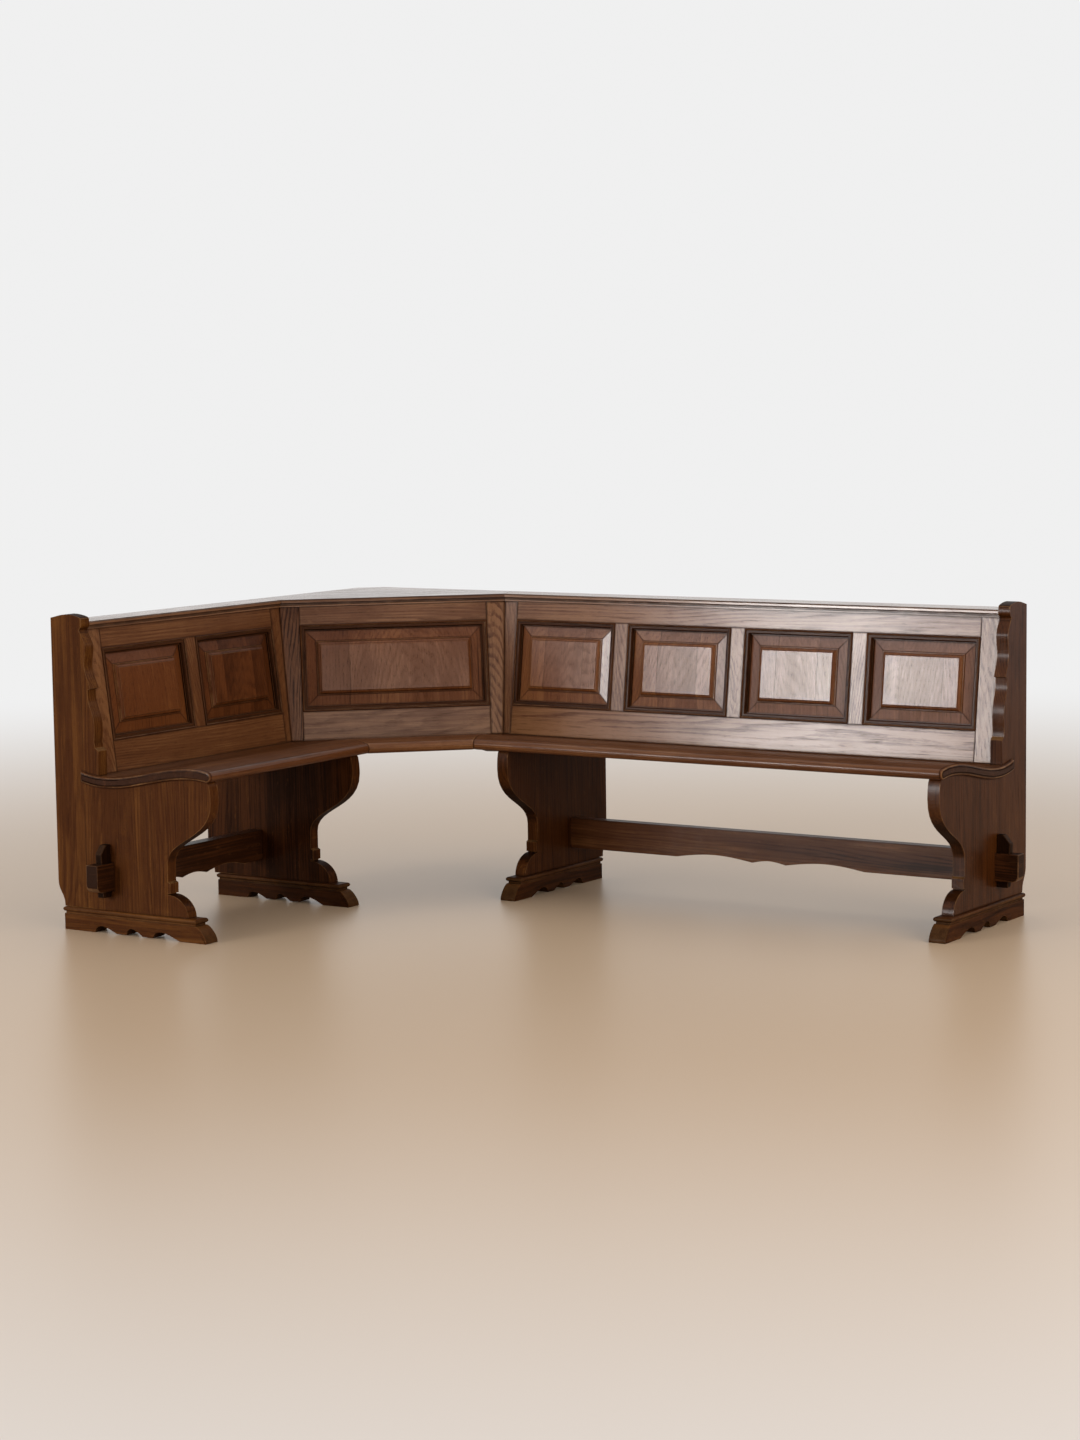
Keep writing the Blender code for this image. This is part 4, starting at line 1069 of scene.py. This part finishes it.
@dataclass
class CouplingPlates:
    """The four bent steel plates that hold the corner between the benches, and their slotted screws.

    Args:
        sides: The two seams.
        levels: The two plates of a seam.
        round_off: Radius of a plate's edges.
        screw_radius: Radius of a screw's head.
        screw_rise: How far the head stands off the plate.
        spread: From the middle of a plate's leg to each of its two screws.
        dome: Steps of the head's dome, as shares of its radius inwards and of its rise upwards.
        slot_wide: Width of the slot, as a share of the head's radius.
    """

    sides: tuple[str, ...] = ("short", "long")
    levels: tuple[str, ...] = ("upper", "lower")
    round_off: float = 0.0008
    screw_radius: float = 0.0048
    screw_rise: float = 0.0019
    spread: float = 0.017
    dome: tuple[tuple[float, float], ...] = ((0.10, 0.25), (0.20, 0.20), (0.25, 0.12), (0.20, 0.03))
    slot_wide: float = 0.24

    def build(self) -> None:
        """Works the plates up from their nodes and drives their screws."""
        pattern = self.model_screw()
        for side in self.sides:
            for level in self.levels:
                plate = self.build_plate(f"coupling_plate_{side}_side_{level}")
                for number, place in enumerate(self.screw_places(plate), 1):
                    self.drive_screw(pattern, f"coupling_screw_{side}_side_{level}_{number}", place)
        bpy.data.objects.remove(pattern)

    def finish(self, piece: bpy.types.Object) -> None:
        """Gives a piece its steel and its place on the bench.

        Args:
            piece: A plate or a screw.
        """
        piece.data.materials.clear()
        piece.data.materials.append(STEEL.material())
        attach(piece, "bench")
        LOG.info("%s: %d faces, %s", piece.name, len(piece.data.polygons), STEEL.name)

    def build_plate(self, node: str) -> bpy.types.Object:
        """A plate with rounded edges, in place of its node.

        Args:
            node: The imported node.

        Returns:
            The plate.
        """
        plate = merged_copy(node)
        applied(plate, "BEVEL", width=self.round_off, segments=2, limit_method="ANGLE", angle_limit=SMOOTH)
        bpy.ops.object.shade_smooth_by_angle(angle=PLATE_SMOOTH)
        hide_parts(node)
        self.finish(plate)
        return plate

    def screw_places(self, plate: bpy.types.Object) -> list[Matrix]:
        """Where the plate's four screws go.

        Args:
            plate: The finished plate.

        Returns:
            For each screw a matrix that takes it from the origin to the plate's rear face.
        """
        behind = Vector((-1.0, 1.0, 0.0)).normalized()
        largest = max(face.area for face in plate.data.polygons)
        places = []
        for face in plate.data.polygons:
            if face.area < SCREWED_FACE * largest or face.normal.dot(behind) < REARWARD:
                continue
            side = Vector((0, 0, 1)).cross(face.normal).normalized()
            up = face.normal.cross(side)
            for step in (-self.spread, self.spread):
                turn = Matrix((side, up, face.normal)).transposed().to_4x4()
                lean = Matrix.Rotation(SCREW_TURN * len(places), 4, "Z")
                places.append(Matrix.Translation(face.center + up * step) @ turn @ lean)
        return places

    def model_screw(self) -> bpy.types.Object:
        """A domed screw head with a slot, its underside at the origin.

        Returns:
            The pattern for all screws.
        """
        bpy.ops.object.select_all(action="DESELECT")
        bpy.ops.mesh.primitive_cylinder_add(vertices=32, radius=self.screw_radius, depth=self.screw_rise,
                                            location=(0, 0, self.screw_rise / 2))
        screw = bpy.context.object
        bpy.ops.object.mode_set(mode="EDIT")
        bpy.ops.mesh.select_mode(type="FACE")
        mesh = bmesh.from_edit_mesh(screw.data)
        for face in mesh.faces:
            face.select_set(face.normal.z > 0.9)
        bmesh.update_edit_mesh(screw.data)
        bpy.ops.transform.translate(value=(0, 0, -sum(rise for _, rise in self.dome) * self.screw_rise))
        for share, rise in self.dome:
            bpy.ops.mesh.inset(thickness=share * self.screw_radius)
            bpy.ops.transform.translate(value=(0, 0, rise * self.screw_rise))
        bpy.ops.object.mode_set(mode="OBJECT")
        bpy.ops.object.transform_apply(location=True, rotation=True, scale=True)
        bpy.ops.mesh.primitive_cube_add(size=1.0, location=(0, 0, self.screw_rise))
        slot = bpy.context.object
        slot.scale = (3 * self.screw_radius, self.slot_wide * self.screw_radius, self.screw_rise)
        alone(screw)
        applied(screw, "BOOLEAN", operation="DIFFERENCE", solver="EXACT", object=slot)
        bpy.data.objects.remove(slot)
        bpy.ops.object.shade_smooth_by_angle(angle=SCREW_SMOOTH)
        return screw

    def drive_screw(self, pattern: bpy.types.Object, name: str, place: Matrix) -> None:
        """Copies the screw to its place, with the place in its mesh.

        Args:
            pattern: The screw head at the origin.
            name: The new screw's name.
            place: Where it goes.
        """
        mesh = pattern.data.copy()
        mesh.name = name
        mesh.transform(place)
        screw = bpy.data.objects.new(name, mesh)
        bpy.context.scene.collection.objects.link(screw)
        self.finish(screw)


@dataclass
class Studio:
    """A plain pale floor, soft light and the camera.

    Args:
        lens: Focal length on a 36 mm sensor, in millimetres.
        spot: Where the camera stands.
        yaw: Its turn from +Y to +X, in degrees.
        pitch: How far it looks down, in degrees.
        roll: Its tilt, in degrees.
        floor_size: Length of a side of the floor.
        floor_colour: Colour of the floor near the bench.
        fade: Distances from the bench between which the floor turns white to the camera.
        rear_fade: Distances behind it between which the floor turns white in reflections.
        ambient: Light from all round.
        room: What reflections show of the room behind the camera.
        ceiling: What they show overhead.
        backdrop: White of the background.
    """

    lens: float = 77.85
    spot: Spot = (4.7185, -7.2566, 1.5455)
    yaw: float = -33.11
    pitch: float = 6.38
    roll: float = -0.78
    floor_size: float = 80.0
    floor_colour: Colour = (0.478, 0.348, 0.234)
    fade: tuple[float, float] = (1.6, 7.0)
    rear_fade: tuple[float, float] = (1.0, 6.0)
    ambient: float = 0.80
    room: float = 0.10
    ceiling: float = 0.85
    backdrop: float = 0.87

    def build(self) -> None:
        """Sets up the stage."""
        self.build_floor()
        self.build_world()
        self.build_lamps()
        self.build_camera()
        bpy.context.scene.view_settings.view_transform = "Standard"

    def build_floor(self) -> None:
        """A floor that turns white in the distance."""
        bpy.ops.object.select_all(action="DESELECT")
        bpy.ops.mesh.primitive_plane_add(size=self.floor_size)
        floor = bpy.context.object
        floor.name = "studio_floor"
        material = bpy.data.materials.new("studio_floor")
        material.use_nodes = True
        wires = Wiring(material.node_tree)
        place = wires.node("ShaderNodeTexCoord").outputs["Object"]
        round_about = wires.ramp(wires.vector("LENGTH", place)["Value"], *self.fade)
        depth = wires.vector("DOT_PRODUCT", place, self.ahead())["Value"]
        at_back = wires.ramp(depth, *self.rear_fade)
        direct = wires.node("ShaderNodeLightPath").outputs["Is Camera Ray"]
        far = wires.scaled(direct, wires.math("SUBTRACT", round_about, at_back), at_back)
        near = wires.node("ShaderNodeBsdfPrincipled", Base_Color=(*self.floor_colour, 1.0), Roughness=0.34,
                          Specular_IOR_Level=0.35)
        strength = wires.scaled(self.seen(wires), self.backdrop - self.ambient, self.ambient)
        white = wires.node("ShaderNodeEmission", Color=WHITE, Strength=strength)
        both = wires.node("ShaderNodeMixShader", Fac=far)
        wires.put(both.inputs[1], near.outputs["BSDF"])
        wires.put(both.inputs[2], white.outputs["Emission"])
        wires.node("ShaderNodeOutputMaterial", Surface=both.outputs["Shader"])
        floor.data.materials.append(material)

    def seen(self, wires: Wiring) -> bpy.types.NodeSocket:
        """1 for what the camera sees, directly or mirrored."""
        path = wires.node("ShaderNodeLightPath")
        return wires.math("MAXIMUM", path.outputs["Is Camera Ray"], path.outputs["Is Glossy Ray"])

    def build_world(self) -> None:
        """Even light from all round, white behind the bench and a dim room in other reflections."""
        world = bpy.data.worlds.new("studio_light")
        world.use_nodes = True
        bpy.context.scene.world = world
        wires = Wiring(world.node_tree)
        way = wires.node("ShaderNodeTexCoord").outputs["Generated"]
        facing = wires.vector("DOT_PRODUCT", way, self.ahead())["Value"]
        height = wires.node("ShaderNodeSeparateXYZ", Vector=way).outputs["Z"]
        overhead = wires.ramp(height, 0.20, 0.60, self.room, self.ceiling)
        behind = wires.ramp(facing, 0.34, 0.75, self.room, self.backdrop)
        behind = wires.math("MAXIMUM", behind, overhead)
        direct = wires.node("ShaderNodeLightPath").outputs["Is Camera Ray"]
        shown = wires.scaled(direct, wires.math("SUBTRACT", self.backdrop, behind), behind)
        extra = wires.math("SUBTRACT", shown, self.ambient)
        strength = wires.scaled(self.seen(wires), extra, self.ambient)
        sky = wires.node("ShaderNodeBackground", Color=WHITE, Strength=strength)
        wires.node("ShaderNodeOutputWorld", Surface=sky.outputs["Background"])

    def build_lamps(self) -> None:
        """Softboxes at the front left, dim ones round them, a wide one at the right and two to mirror."""
        back, corner, warm = (0.3, 0.65, 0.7), (-0.9, 0.2, 0.7), (1.0, 0.90, 0.79)
        self.softbox("left_softbox", (-4.80, -9.0, 2.25), back, (1.15, 2.3), 225.0)
        self.softbox("middle_softbox", (-3.55, -9.0, 2.25), back, (1.5, 2.3), 165.0)
        self.softbox("upper_glow", (-5.20, -9.0, 4.5), back, (3.4, 1.7), 42.0)
        self.softbox("left_glow", (-8.10, -9.0, 2.25), back, (1.4, 2.0), 26.0)
        self.softbox("right_glow", (-1.90, -9.0, 2.25), back, (1.6, 2.0), 14.0)
        self.softbox("right_softbox", (6.5, -1.25, 2.8), corner, (6.0, 4.2), 260.0, warm, mirrored=False)
        self.softbox("right_window", (6.5, -4.9, 1.75), corner, (1.7, 1.3), 20.0, warm, lights=False)
        self.softbox("rear_glow", (5.2, 7.5, 3.9), corner, (2.6, 1.6), 20.0, lights=False)

    def softbox(self, name: str, spot: Spot, aim: Spot, size: tuple[float, float], power: float,
                colour: Colour = WHITE[:3], lights: bool = True, mirrored: bool = True) -> None:
        """Adds an area lamp.

        Args:
            name: The lamp's name.
            spot: Where it hangs.
            aim: What it faces.
            size: Its width and height.
            power: Its power in watts.
            colour: Its colour.
            lights: Whether it lights surfaces.
            mirrored: Whether varnish mirrors it.
        """
        lamp = bpy.data.lights.new(name, "AREA")
        lamp.shape = "RECTANGLE"
        lamp.size, lamp.size_y = size
        lamp.energy = power
        lamp.color = colour
        holder = bpy.data.objects.new(name, lamp)
        holder.visible_camera = False
        holder.visible_diffuse, holder.visible_glossy = lights, mirrored
        holder.location = spot
        holder.rotation_euler = (Vector(aim) - Vector(spot)).to_track_quat("-Z", "Y").to_euler()
        bpy.context.scene.collection.objects.link(holder)

    def ahead(self) -> Vector:
        """The direction that the camera looks in."""
        yaw, pitch = math.radians(self.yaw), math.radians(self.pitch)
        return Vector((math.sin(yaw) * math.cos(pitch), math.cos(yaw) * math.cos(pitch), -math.sin(pitch)))

    def build_camera(self) -> None:
        """The camera at the photograph's viewing angle."""
        yaw, roll = math.radians(self.yaw), math.radians(self.roll)
        level = Vector((math.cos(yaw), -math.sin(yaw), 0.0))
        upright = level.cross(self.ahead())
        right = level * math.cos(roll) + upright * math.sin(roll)
        up = upright * math.cos(roll) - level * math.sin(roll)
        data = bpy.data.cameras.new("photo_view")
        data.sensor_width = 36.0
        data.lens = self.lens
        camera = bpy.data.objects.new("photo_view", data)
        turn = Matrix((right, up, -self.ahead())).transposed().to_4x4()
        camera.matrix_world = Matrix.Translation(self.spot) @ turn
        bpy.context.scene.collection.objects.link(camera)
        bpy.context.scene.camera = camera


def main() -> None:
    """Builds the bench, then the studio."""
    logging.basicConfig(level=logging.INFO, format="%(name)s: %(message)s")
    bpy.ops.object.select_all(action="DESELECT")
    StraightBench("long", Wing.LONG, leg_tones_and_shade=(-0.10, -0.12, 0.15), leg_finish=FAR_LEG_OAK,
                  foot_tones=(-0.30, -0.30), frame_tone_and_light=0.30, panel_tones=(0.26, 0.24, 0.15, 0.15),
                  panel_finish=PANEL_OAK).build()
    # the short stretcher's dark tone is painted shade, and its frame_tone_and_light is partly painted light
    # from above and the right
    StraightBench("short", Wing.SHORT, leg_tones_and_shade=(0.07, -0.2, -0.38), leg_finish=LEG_OAK,
                  foot_tones=(0.14, -0.25), frame_tone_and_light=0.17, panel_tones=(0.0, -0.24),
                  panel_finish=SHADED_PANEL_OAK).build()
    CornerUnit().build()
    CouplingPlates().build()
    Studio().build()


if __name__ == "__main__":
    main()
